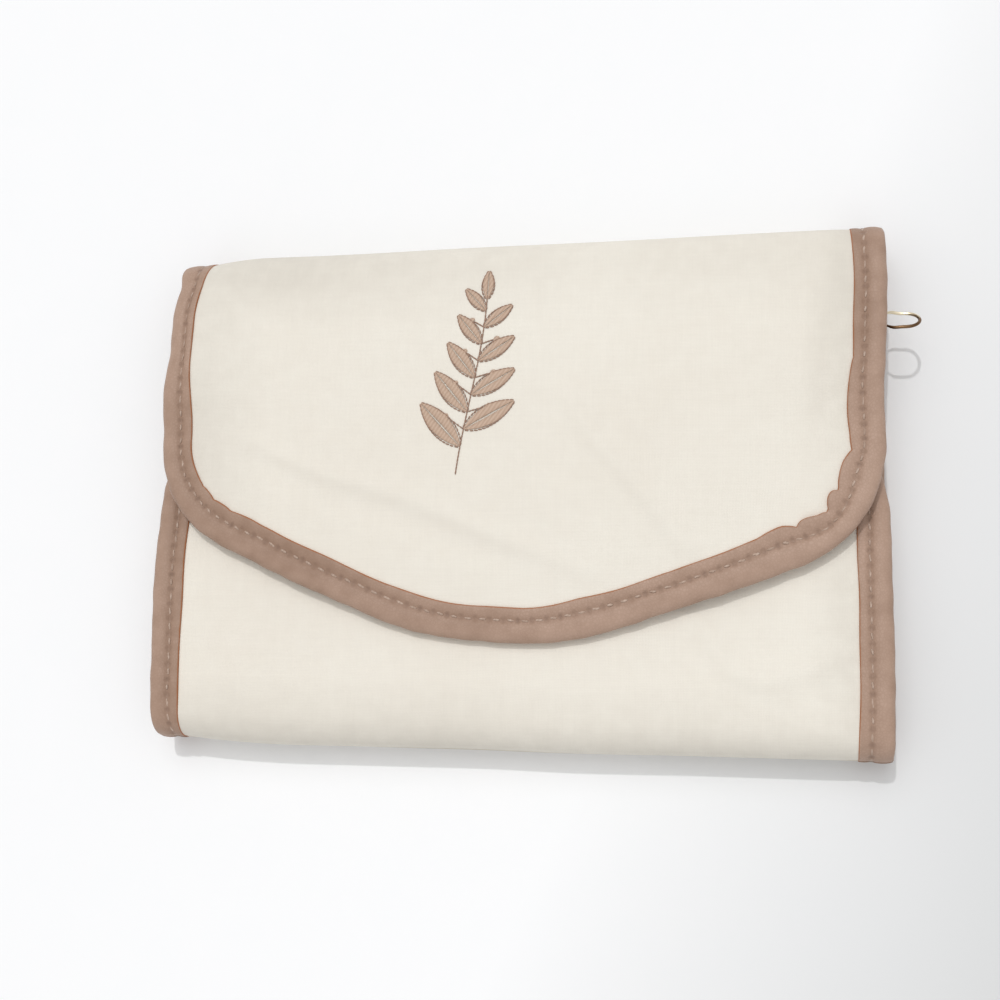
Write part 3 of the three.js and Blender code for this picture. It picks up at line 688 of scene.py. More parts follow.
class Graph:
    """Short calls to add and join the nodes of one shader tree."""

    def __init__(self, tree: bpy.types.NodeTree) -> None:
        """Takes the tree to work in."""
        self.tree = tree

    def add(self, kind: str, **settings: object) -> bpy.types.Node:
        """Adds a node.

        Args:
            kind: The node's type.
            **settings: Properties to set on it.

        Returns:
            The node.
        """
        node = self.tree.nodes.new(kind)
        for key, value in settings.items():
            setattr(node, key, value)
        return node

    def feed(self, socket: bpy.types.NodeSocket, value: object) -> None:
        """Joins a socket's output to an input, or sets the input's value.

        Args:
            socket: The input.
            value: An output socket or a constant.
        """
        if isinstance(value, bpy.types.NodeSocket):
            self.tree.links.new(value, socket)
        else:
            socket.default_value = value

    def math(self, operation: str, *values: object) -> bpy.types.NodeSocket:
        """Returns the result of a math node.

        Args:
            operation: The node's operation.
            *values: Its inputs, as sockets or numbers.
        """
        node = self.add("ShaderNodeMath", operation=operation)
        for socket, value in zip(node.inputs, values):
            self.feed(socket, value)
        return node.outputs[0]

    def plus(self, a: object, b: object) -> bpy.types.NodeSocket:
        """Returns a sum."""
        return self.math("ADD", a, b)

    def minus(self, a: object, b: object) -> bpy.types.NodeSocket:
        """Returns a difference."""
        return self.math("SUBTRACT", a, b)

    def times(self, a: object, b: object) -> bpy.types.NodeSocket:
        """Returns a product."""
        return self.math("MULTIPLY", a, b)

    def larger(self, a: object, b: object) -> bpy.types.NodeSocket:
        """Returns the larger value."""
        return self.math("MAXIMUM", a, b)

    def apart(self, a: object, b: object) -> bpy.types.NodeSocket:
        """Returns how far apart two values are."""
        return self.math("ABSOLUTE", self.minus(a, b))

    def parts(self, vector: object) -> bpy.types.bpy_prop_collection:
        """Returns a vector's x, y and z."""
        node = self.add("ShaderNodeSeparateXYZ")
        self.feed(node.inputs[0], vector)
        return node.outputs

    def mix(self, share: object, a: object, b: object, blend: str = "MIX") -> bpy.types.NodeSocket:
        """Returns a mix of two colours.

        Args:
            share: How much of the second.
            a: The first colour.
            b: The second colour.
            blend: The blend type.
        """
        node = self.add("ShaderNodeMix", data_type="RGBA", blend_type=blend)
        for index, value in ((0, share), (6, a), (7, b)):
            self.feed(node.inputs[index], value)
        return node.outputs[2]

    def spread(
        self, value: object, low: float, high: float, to_low: float, to_high: float
    ) -> bpy.types.NodeSocket:
        """Returns a value carried from one range to another, held at its ends.

        Args:
            value: The value.
            low: The lower end of its range.
            high: The upper end.
            to_low: What the lower end becomes.
            to_high: What the upper end becomes.
        """
        node = self.add("ShaderNodeMapRange")
        for socket, item in zip(node.inputs, (value, low, high, to_low, to_high)):
            self.feed(socket, item)
        return node.outputs[0]

    def noise(self, vector: object, scale: float, detail: float = 2.0) -> bpy.types.NodeSocket:
        """Returns a noise value.

        Args:
            vector: Where to read it.
            scale: Features in a metre, roughly.
            detail: Octaves.
        """
        node = self.add("ShaderNodeTexNoise")
        self.feed(node.inputs["Vector"], vector)
        node.inputs["Scale"].default_value = scale
        node.inputs["Detail"].default_value = detail
        return node.outputs[0]

    def vector(self, operation: str, first: object, second: object) -> bpy.types.NodeSocket:
        """Returns the result of a vector math node.

        Args:
            operation: The node's operation.
            first: A vector.
            second: The other vector, or the factor of a SCALE.
        """
        node = self.add("ShaderNodeVectorMath", operation=operation)
        self.feed(node.inputs[0], first)
        self.feed(node.inputs["Scale"] if operation == "SCALE" else node.inputs[1], second)
        return node.outputs[0]


class Group(Graph):
    """A shader node group with named inputs and outputs."""

    def __init__(self, name: str, inputs: dict[str, float | None], outputs: Sequence[str]) -> None:
        """Makes the group's tree.

        Args:
            name: The group's name.
            inputs: Each input's default, or None for a vector.
            outputs: The outputs' names, all of them values.
        """
        super().__init__(bpy.data.node_groups.new(name, "ShaderNodeTree"))
        for key, value in inputs.items():
            kind = "NodeSocketVector" if value is None else "NodeSocketFloat"
            socket = self.tree.interface.new_socket(name=key, in_out="INPUT", socket_type=kind)
            if value is not None:
                socket.default_value = value
        for key in outputs:
            self.tree.interface.new_socket(name=key, in_out="OUTPUT", socket_type="NodeSocketFloat")
        self.given = self.add("NodeGroupInput").outputs
        self.result = self.add("NodeGroupOutput").inputs


def weave_group() -> bpy.types.NodeTree:
    """Returns a plain weave: warp and weft threads that pass over and under each other."""
    inputs = {"Vector": None, "Pitch": 0.0007, "Unevenness": 0.35}
    g = Group("plain_weave", inputs, ("Height", "Shade", "Slub"))
    drift = g.add("ShaderNodeTexNoise")
    g.feed(drift.inputs["Vector"], g.given["Vector"])
    drift.inputs["Scale"].default_value = 140.0
    centred = g.vector("SUBTRACT", drift.outputs["Color"], (0.5, 0.5, 0.5))
    sway = g.times(g.times(g.given["Pitch"], g.given["Unevenness"]), 4.0)
    moved = g.vector("ADD", g.given["Vector"], g.vector("SCALE", centred, sway))
    threads = g.parts(g.vector("SCALE", moved, g.math("DIVIDE", math.pi, g.given["Pitch"])))
    warp, weft = g.math("SINE", threads[0]), g.math("SINE", threads[1])
    over = g.math("GREATER_THAN", g.times(warp, weft), 0.0)
    round_warp, round_weft = g.math("ABSOLUTE", warp), g.math("ABSOLUTE", weft)
    crown_warp = g.times(round_warp, g.math("MULTIPLY_ADD", round_weft, 0.45, 0.55))
    crown_weft = g.times(round_weft, g.math("MULTIPLY_ADD", round_warp, 0.45, 0.55))
    height = g.plus(g.times(over, crown_warp), g.times(g.minus(1.0, over), crown_weft))
    along_warp = g.noise(g.vector("MULTIPLY", g.given["Vector"], (1.0, 0.06, 1.0)), 900.0, 1.0)
    along_weft = g.noise(g.vector("MULTIPLY", g.given["Vector"], (0.06, 1.0, 1.0)), 900.0, 1.0)
    slub = g.times(g.plus(along_warp, along_weft), 0.5)
    g.feed(g.result["Height"], g.plus(height, g.times(slub, 0.8)))
    g.feed(g.result["Shade"], g.spread(height, 0.0, 0.7, 0.0, 1.0))
    g.feed(g.result["Slub"], slub)
    return g.tree


def grain_group() -> bpy.types.NodeTree:
    """Returns a fine leather grain: small raised cells with creases between them."""
    g = Group("leather_grain", {"Vector": None, "Cells": 850.0}, ("Height", "Crease"))
    cells = g.add("ShaderNodeTexVoronoi", feature="DISTANCE_TO_EDGE")
    g.feed(cells.inputs["Vector"], g.given["Vector"])
    g.feed(cells.inputs["Scale"], g.given["Cells"])
    cell = g.spread(cells.outputs[0], 0.0, 0.22, 0.0, 1.0)
    fine = g.noise(g.given["Vector"], 2600.0, 3.0)
    g.feed(g.result["Height"], g.plus(g.times(cell, 0.7), g.times(fine, 0.5)))
    g.feed(g.result["Crease"], g.minus(1.0, cell))
    return g.tree


def mottle_group() -> bpy.types.NodeTree:
    """Returns a slow change of tone, with a finer one over it."""
    g = Group("mottle", {"Vector": None, "Contrast": 1.0}, ("Tone", "Fine"))
    wide = g.noise(g.given["Vector"], 14.0, 3.0)
    fine = g.noise(g.given["Vector"], 160.0, 4.0)
    both = g.plus(g.times(wide, 0.65), g.times(fine, 0.35))
    spread = g.times(g.minus(both, 0.5), g.given["Contrast"])
    g.feed(g.result["Tone"], g.plus(g.times(spread, 2.0), 0.5))
    g.feed(g.result["Fine"], fine)
    return g.tree


def ply_group() -> bpy.types.NodeTree:
    """Returns twisted thread: fine slanting plies."""
    g = Group("thread_ply", {"Vector": None, "Plies": 5200.0}, ("Height", "Shade"))
    slant = g.add("ShaderNodeVectorRotate", rotation_type="Z_AXIS")
    g.feed(slant.inputs["Vector"], g.given["Vector"])
    slant.inputs["Angle"].default_value = 0.6
    bands = g.add("ShaderNodeTexWave", bands_direction="X")
    g.feed(bands.inputs["Vector"], slant.outputs[0])
    g.feed(bands.inputs["Scale"], g.math("DIVIDE", g.given["Plies"], 20.0))
    bands.inputs["Distortion"].default_value = 1.5
    fuzz = g.noise(g.given["Vector"], 4000.0, 2.0)
    g.feed(g.result["Height"], g.plus(bands.outputs["Fac"], g.times(fuzz, 0.6)))
    g.feed(g.result["Shade"], g.plus(g.times(bands.outputs["Fac"], 0.5), g.times(fuzz, 0.5)))
    return g.tree


def wear_group() -> bpy.types.NodeTree:
    """Returns the handling marks of polished metal: hairlines and a faint cloudiness."""
    g = Group("metal_wear", {"Vector": None}, ("Haze", "Height"))
    hair = g.noise(g.vector("MULTIPLY", g.given["Vector"], (1.0, 0.08, 0.3)), 6000.0, 2.0)
    haze = g.noise(g.given["Vector"], 420.0, 3.0)
    g.feed(g.result["Haze"], g.plus(g.times(haze, 0.7), g.times(hair, 0.3)))
    g.feed(g.result["Height"], hair)
    return g.tree


class Shaders:
    """The shared shader groups, made once."""

    def __init__(self) -> None:
        """Makes the groups."""
        self.weave = weave_group()
        self.grain = grain_group()
        self.mottle = mottle_group()
        self.ply = ply_group()
        self.wear = wear_group()


# Finishes


class Dress(Graph):
    """A material with its Principled shader, ready for the groups to be joined to it."""

    def __init__(self, name: str) -> None:
        """Makes the material.

        Args:
            name: The material's name.
        """
        self.material = bpy.data.materials.new(name)
        self.material.use_nodes = True
        super().__init__(self.material.node_tree)
        self.shader = self.tree.nodes["Principled BSDF"]
        self.object_place = self.add("ShaderNodeTexCoord").outputs["Object"]

    def cloth_place(self) -> bpy.types.NodeSocket:
        """Returns the piece's own flat cloth coordinates, in metres."""
        return self.add("ShaderNodeUVMap", uv_map=CLOTH).outputs[0]

    def group(
        self, tree: bpy.types.NodeTree, vector: object, **values: float
    ) -> bpy.types.bpy_prop_collection:
        """Adds a shared group.

        Args:
            tree: The group.
            vector: Where it is read.
            **values: Its other inputs.

        Returns:
            The group's outputs.
        """
        node = self.add("ShaderNodeGroup", node_tree=tree)
        self.feed(node.inputs["Vector"], vector)
        for key, value in values.items():
            node.inputs[key].default_value = value
        return node.outputs

    def bump(self, height: object, distance: float, strength: float = 1.0) -> None:
        """Feeds the shader's normal from a height.

        Args:
            height: The height, about 0 to 1.
            distance: What a height of 1 stands for.
            strength: How much of it shows.
        """
        node = self.add("ShaderNodeBump")
        node.inputs["Distance"].default_value = distance
        node.inputs["Strength"].default_value = strength
        self.feed(node.inputs["Height"], height)
        self.feed(self.shader.inputs["Normal"], node.outputs[0])

    def set(self, **values: float) -> None:
        """Sets the shader's own sockets, named with underscores for spaces."""
        for key, value in values.items():
            self.shader.inputs[key.replace("_", " ")].default_value = value


@dataclass(frozen=True)
class ClothFinish:
    """Plain woven cloth."""

    name: str
    light: str
    dark: str
    pitch: float
    depth: float
    gap_shade: float = 0.86
    roughness: float = 0.9
    sheen: float = 0.12
    contrast: float = 1.0
    slub: float = 0.025
    # The tone of the painted shade along the folds and beside the side bindings.
    fold_shade_tone: str | None = None
    folds: tuple[float, float] = (0.0, 0.0)

    def shade(self, d: "Dress", mottle: bpy.types.bpy_prop_collection) -> bpy.types.NodeSocket:
        """Returns the painted shade: along the folds, where the cloth turns away from the light, more so to
        the left along the top fold, and in the dips beside the side bindings.

        Args:
            d: The material.
            mottle: The mottle group's outputs.
        """
        across, along, _ = d.parts(d.cloth_place())
        leftward = d.spread(across, -120 * MM, 20 * MM, 1.0, 0.4)
        top = d.spread(d.apart(along, self.folds[0]), 15 * MM, 40 * MM, 1.0, 0.0)
        low = d.spread(d.apart(along, self.folds[1]), 12 * MM, 28 * MM, 0.75, 0.0)
        on_flap = d.math("LESS_THAN", along, self.folds[0] - 20 * MM)
        left = d.times(d.spread(across, -116 * MM, -86 * MM, 0.75, 0.0), on_flap)
        side = d.larger(left, d.spread(across, 98 * MM, 113 * MM, 0.0, 0.75))
        worst = d.larger(d.times(top, leftward), d.larger(low, side))
        return d.times(worst, d.spread(mottle["Tone"], 0.2, 0.8, 1.0, 0.45))

    def make(self, shaders: Shaders) -> bpy.types.Material:
        """Returns the material.

        Args:
            shaders: The shared groups.
        """
        d = Dress(self.name)
        weave = d.group(shaders.weave, d.cloth_place(), Pitch=self.pitch)
        mottle = d.group(shaders.mottle, d.object_place, Contrast=self.contrast)
        base = d.mix(mottle["Tone"], tone(self.dark), tone(self.light))
        if self.fold_shade_tone:
            # Painted shade along the folds and in the dips beside the side bindings.
            base = d.mix(self.shade(d, mottle), base, tone(self.fold_shade_tone))
        gaps = d.spread(weave["Shade"], 0.0, 1.0, self.gap_shade, 1.0)
        slub = d.spread(weave["Slub"], 0.3, 0.7, 1.01 - self.slub, 1.01)
        d.feed(d.shader.inputs["Base Color"], d.mix(1.0, base, d.times(gaps, slub), "MULTIPLY"))
        dull, smooth = self.roughness + 0.06, self.roughness - 0.06
        d.feed(d.shader.inputs["Roughness"], d.spread(weave["Height"], 0.0, 1.4, dull, smooth))
        d.bump(weave["Height"], self.depth, 0.8)
        d.set(Sheen_Weight=self.sheen, Sheen_Roughness=0.5, Specular_IOR_Level=0.2)
        return d.material


@dataclass(frozen=True)
class LeatherFinish:
    """Soft faux leather binding, with a thin stained line at its cut edge, and painted shade in the groove
    along its stitches and in the needle holes.
    """

    name: str
    light: str
    dark: str
    cells: float
    depth: float
    line: str
    # The tone of the painted shade in the needle holes.
    hole: str
    line_width: float = 0.26 * MM
    roughness: float = 0.55

    def make(self, shaders: Shaders) -> bpy.types.Material:
        """Returns the material.

        Args:
            shaders: The shared groups.
        """
        d = Dress(self.name)
        grain = d.group(shaders.grain, d.object_place, Cells=self.cells)
        mottle = d.group(shaders.mottle, d.object_place, Contrast=1.3)
        run, inward, _ = d.parts(d.cloth_place())
        base = d.mix(mottle["Tone"], tone(self.dark), tone(self.light))
        base = d.mix(d.times(grain["Crease"], 0.28), base, tone(self.dark))
        off_row = d.apart(inward, BINDING_WIDTH - STITCH_ROW)
        # Painted shade in the groove along the stitch row.
        groove = d.spread(off_row, 0.3 * MM, 1.5 * MM, 0.45, 0.0)
        base = d.mix(d.times(groove, d.plus(mottle["Fine"], 0.4)), base, tone(self.dark))
        # Painted shade in the needle holes between the stitches.
        beat = d.math("FRACT", d.plus(d.math("DIVIDE", run, STITCH_PITCH), 0.5))
        off_hole = d.times(d.apart(beat, 0.5), STITCH_PITCH)
        away = d.math("SQRT", d.plus(d.math("POWER", off_row, 2.0), d.math("POWER", off_hole, 2.0)))
        hole = d.spread(away, 0.3 * MM, 1.3 * MM, 1.0, 0.0)
        base = d.mix(d.times(hole, d.spread(mottle["Fine"], 0.35, 0.7, 0.10, 0.5)), base, tone(self.hole))
        # Lighter in patches over the outer roll and out to the edge.
        outer_lightening = d.spread(inward, 6.0 * MM, 8.6 * MM, 0.0, 0.55)
        base = d.mix(d.times(outer_lightening, mottle["Fine"]), base, tone(self.light))
        edge = d.plus(inward, d.times(d.minus(mottle["Fine"], 0.5), 0.5 * MM))
        near = d.spread(edge, self.line_width * 0.4, self.line_width * 1.5, 0.9, 0.0)
        d.feed(d.shader.inputs["Base Color"], d.mix(near, base, tone(self.line)))
        dull, smooth = self.roughness + 0.1, self.roughness - 0.06
        d.feed(d.shader.inputs["Roughness"], d.spread(grain["Height"], 0.0, 1.2, dull, smooth))
        height = d.minus(grain["Height"], d.times(hole, 4.0))
        d.bump(height, self.depth, 0.8)
        d.set(Specular_IOR_Level=0.35, Sheen_Weight=0.05)
        return d.material


@dataclass(frozen=True)
class ThreadFinish:
    """Spun thread."""

    name: str
    light: str
    dark: str
    roughness: float = 0.7
    sheen: float = 0.25
    worn: float = 0.0

    def make(self, shaders: Shaders) -> bpy.types.Material:
        """Returns the material.

        Args:
            shaders: The shared groups.
        """
        d = Dress(self.name)
        ply = d.group(shaders.ply, d.object_place)
        mottle = d.group(shaders.mottle, d.object_place, Contrast=1.6)
        worn = d.spread(mottle["Fine"], 0.35, 0.65, 0.0, self.worn)
        shade = d.times(ply["Shade"], d.minus(1.0, worn))
        d.feed(d.shader.inputs["Base Color"], d.mix(shade, tone(self.dark), tone(self.light)))
        dull, smooth = self.roughness + 0.1, self.roughness - 0.1
        d.feed(d.shader.inputs["Roughness"], d.spread(ply["Height"], 0.0, 1.6, dull, smooth))
        d.bump(ply["Height"], 0.00006, 0.6)
        d.set(Sheen_Weight=self.sheen)
        return d.material


@dataclass(frozen=True)
class MetalFinish:
    """Polished plated metal with light handling marks.

    A wire pull has a painted dark reflection and shade along its lower leg, up to the given place in its own
    y.
    """

    name: str
    colour: str
    dark: str
    smooth: float = 0.16
    rough: float = 0.34
    painted_reflection: str | None = None
    painted_reflection_to: float = 0.0

    def make(self, shaders: Shaders) -> bpy.types.Material:
        """Returns the material.

        Args:
            shaders: The shared groups.
        """
        d = Dress(self.name)
        wear = d.group(shaders.wear, d.object_place)
        plating = d.mix(wear["Haze"], tone(self.colour), tone(self.dark))
        if self.painted_reflection:
            # Painted dark reflection and shade on the lower leg, below the given y.
            y = d.parts(d.object_place)[1]
            bright = d.spread(y, self.painted_reflection_to, self.painted_reflection_to + 1.6 * MM, 0.0, 1.0)
            plating = d.mix(bright, tone(self.painted_reflection), plating)
        d.feed(d.shader.inputs["Base Color"], plating)
        d.feed(d.shader.inputs["Roughness"], d.spread(wear["Haze"], 0.3, 0.7, self.smooth, self.rough))
        d.bump(wear["Height"], 0.00001, 0.4)
        d.set(Metallic=1.0)
        return d.material


class Wardrobe:
    """Every finish of the organizer, made once and given out by name."""

    finishes = (
        ClothFinish("lining_cloth", "#dcc6a6", "#cbb28f", 0.34 * MM, 0.00005, roughness=0.75, sheen=0.25),
        ClothFinish("pocket_cloth", "#d9c2a1", "#c8ae8a", 0.36 * MM, 0.00006, roughness=0.78, sheen=0.2),
        ClothFinish("roll_cloth", "#e0cbab", "#ceb592", 0.36 * MM, 0.00006, roughness=0.72, sheen=0.3),
        ClothFinish("tape_cloth", "#c9ad92", "#b59679", 0.5 * MM, 0.00009, gap_shade=0.75),
        ClothFinish("batting_cloth", "#f3f0ea", "#e6e1d8", 1.6 * MM, 0.0003, gap_shade=0.95, contrast=1.6),
        LeatherFinish("binding_leather", "#b99c8a", "#947764", 950.0, 0.00006, "#a5653a", "#6b5346"),
        ClothFinish("strap_cloth", "#d9c2a1", "#c8ae8a", 0.36 * MM, 0.00006, roughness=0.76, sheen=0.2),
        ThreadFinish("seam_thread", "#d2bcac", "#a88e7c", worn=0.8),
        ThreadFinish("lining_thread", "#d8bf9c", "#b39a78"),
        ThreadFinish("satin_thread", "#d2b7a2", "#b3957d", 0.45, 0.35),
        ThreadFinish("outline_thread", "#a88672", "#8c6c5a", 0.55, 0.2),
        MetalFinish("pale_gold", "#f6ead0", "#dcc9a2"),
        # the lower leg carries a painted dark reflection
        MetalFinish("wire_gold", "#fbf2dc", "#e6d6b2", 0.26, 0.4, painted_reflection="#7b5f45", painted_reflection_to=54.7 * MM),
        MetalFinish("zip_gold", "#e6cb92", "#c9a767", 0.2, 0.38),
    )

    def __init__(self, profile: Profile) -> None:
        """Makes every material.

        Args:
            profile: The case's profile, which says where the canvas turns round its folds.
        """
        shaders = Shaders()
        folds = (profile.top_middle, profile.bottom_middle)
        canvas = ClothFinish(
            "canvas_cloth",
            "#f4efe4",
            "#ede6da",
            0.5 * MM,
            0.00006,
            gap_shade=0.965,
            # painted shade along the folds and beside the side bindings
            fold_shade_tone="#dbd5ca",
            folds=folds,
        )
        self.materials = {finish.name: finish.make(shaders) for finish in (canvas, *self.finishes)}
        LOG.info("made %d finishes", len(self.materials))

    def dress(self, piece: bpy.types.Object, name: str) -> None:
        """Gives a piece its one material."""
        piece.data.materials.clear()
        piece.data.materials.append(self.materials[name])


# Building pieces from flat shapes


def slab(columns: int, rows: int) -> bmesh.types.BMesh:
    """Returns a closed slab that fills the unit cube, finely divided in x and y.

    Args:
        columns: Divisions along x.
        rows: Divisions along y.
    """
    shape = bmesh.new()
    centre = Matrix.Translation((0.5, 0.5, 0))
    bmesh.ops.create_grid(shape, x_segments=columns, y_segments=rows, size=0.5, matrix=centre)
    grown = bmesh.ops.extrude_face_region(shape, geom=shape.faces[:], use_keep_orig=True)
    raised = [item for item in grown["geom"] if isinstance(item, bmesh.types.BMVert)]
    bmesh.ops.translate(shape, verts=raised, vec=(0, 0, 1))
    return shape


def tube(columns: int, sides: int) -> bmesh.types.BMesh:
    """Returns a capped tube round the X axis, from x 0 to 1, of radius 1.

    Args:
        columns: Divisions along it.
        sides: Divisions around it.
    """
    shape = bmesh.new()
    ends = [shape.verts.new((x, 1, 0)) for x in (0, 1)]
    edge = shape.edges.new(ends)
    if columns > 1:
        bmesh.ops.subdivide_edges(shape, edges=[edge], cuts=columns - 1)
    line = shape.verts[:] + shape.edges[:]
    bmesh.ops.spin(shape, geom=line, axis=(1, 0, 0), angle=2 * math.pi, steps=sides, use_merge=True)
    bmesh.ops.remove_doubles(shape, verts=shape.verts[:], dist=1e-5)
    rims = [e for e in shape.edges if e.is_boundary]
    bmesh.ops.holes_fill(shape, edges=rims, sides=0)
    return shape


@dataclass
class Piece:
    """A shape in unit coordinates, how it becomes a flat pattern, and how the pattern is laid."""

    name: str
    shape: bmesh.types.BMesh
    pattern: Mapping
    lay: Mapping
    sharp: float = math.radians(40)

    def build(self) -> bpy.types.Object:
        """Makes the object, with its flat coordinates as its map.

        Returns:
            The object, linked to the scene.
        """
        mesh = mesh_of(self.name, self.shape)
        flat = self.pattern(vertex_rows(mesh, "co"))
        corners = np.empty(len(mesh.loops), dtype=np.int32)
        mesh.loops.foreach_get("vertex_index", corners)
        mesh.uv_layers.new(name=CLOTH).data.foreach_set("uv", flat[corners, :2].ravel())
        mesh.vertices.foreach_set("co", self.lay(flat).ravel())
        mesh.update()
        turned = bmesh.new()
        turned.from_mesh(mesh)
        bmesh.ops.recalc_face_normals(turned, faces=turned.faces[:])
        turned.to_mesh(mesh)
        turned.free()
        mesh.shade_smooth()
        mesh.set_sharp_from_angle(angle=self.sharp)
        return show(self.name, mesh)


@dataclass(frozen=True)
class Stitch:
    """One stitch, or one strand of embroidery, in flat cloth coordinates."""

    place: tuple[float, float, float]
    length: float
    width: float
    height: float
    turn: float = 0.0


STITCH_SIDES = 6
STITCH_RINGS = 4
STITCH_BATCH = 40  # stitches made in one go, because a large shape grows slowly


def stitched(name: str, stitches: Sequence[Stitch], lay: Mapping) -> bpy.types.Object:
    """Makes one object of many stitches.

    Args:
        name: The object's name.
        stitches: The stitches.
        lay: How flat coordinates are laid.

    Returns:
        The object.
    """
    shape, carrier = bmesh.new(), bpy.data.meshes.new(f"{name}_run")
    lying = Matrix.Rotation(QUARTER_TURN, 4, "Y")
    for first in range(0, len(stitches), STITCH_BATCH):
        run = bmesh.new()
        for item in stitches[first : first + STITCH_BATCH]:
            size = Matrix.Diagonal((item.length, item.width, item.height, 1))
            matrix = Matrix.Translation(item.place) @ Matrix.Rotation(item.turn, 4, "Z") @ size @ lying
            bmesh.ops.create_uvsphere(
                run, u_segments=STITCH_SIDES, v_segments=STITCH_RINGS, radius=0.5, matrix=matrix
            )
        run.to_mesh(carrier)
        run.free()
        shape.from_mesh(carrier)
    bpy.data.meshes.remove(carrier)
    return Piece(name, shape, lambda unit: unit, lay, math.radians(80)).build()


def seam(trace: Trace, inward: float, depth: float, rng: np.random.Generator) -> list[Stitch]:
    """Returns a row of stitches along a trace, in the trace's coordinates.

    Args:
        trace: The trace.
        inward: The row's distance to the trace's inner side.
        depth: The row's depth.
        rng: Seeded numbers for small unevenness.
    """
    count = int(trace.length / STITCH_PITCH)
    pitch = trace.length / count
    drift = rng.normal(0, 1, (count, 3))
    return [
        Stitch(
            ((i + 0.5) * pitch, inward + 0.10 * MM * drift[i, 0], depth + 0.06 * MM * drift[i, 1]),
            pitch * (0.50 + 0.05 * drift[i, 1]),
            0.80 * MM,
            0.62 * MM,
            0.10 + 0.06 * drift[i, 2],
        )
        for i in range(count)
    ]


BEVEL_FROM = math.radians(32)


def refined(
    name: str, nodes: Sequence[bpy.types.Object], bevel: float, turn: float = 35.0
) -> bpy.types.Object:
    """Makes a copy of CAD nodes with merged faces and small round edges.

    Args:
        name: The new object's name.
        nodes: The nodes.
        bevel: The edges' rounding, or 0 for none.
        turn: The angle in degrees past which an edge stays sharp.

    Returns:
        The object, linked to the scene.
    """
    shape = bmesh.new()
    for node in nodes:
        shape.from_mesh(node.data)
    bmesh.ops.remove_doubles(shape, verts=shape.verts[:], dist=2e-6)
    bmesh.ops.recalc_face_normals(shape, faces=shape.faces[:])
    if bevel > 0:
        bmesh.ops.dissolve_limit(
            shape, angle_limit=math.radians(1), verts=shape.verts[:], edges=shape.edges[:]
        )
        sharp = [e for e in shape.edges if len(e.link_faces) == 2 and e.calc_face_angle(0) > BEVEL_FROM]
        bmesh.ops.bevel(
            shape,
            geom=sharp,
            offset=bevel,
            segments=2,
            profile=0.5,
            affect="EDGES",
            clamp_overlap=True,
            material=-1,
        )
    mesh = mesh_of(name, shape)
    mesh.shade_smooth()
    mesh.set_sharp_from_angle(angle=math.radians(turn))
    return show(name, mesh)


# Sub-assemblies


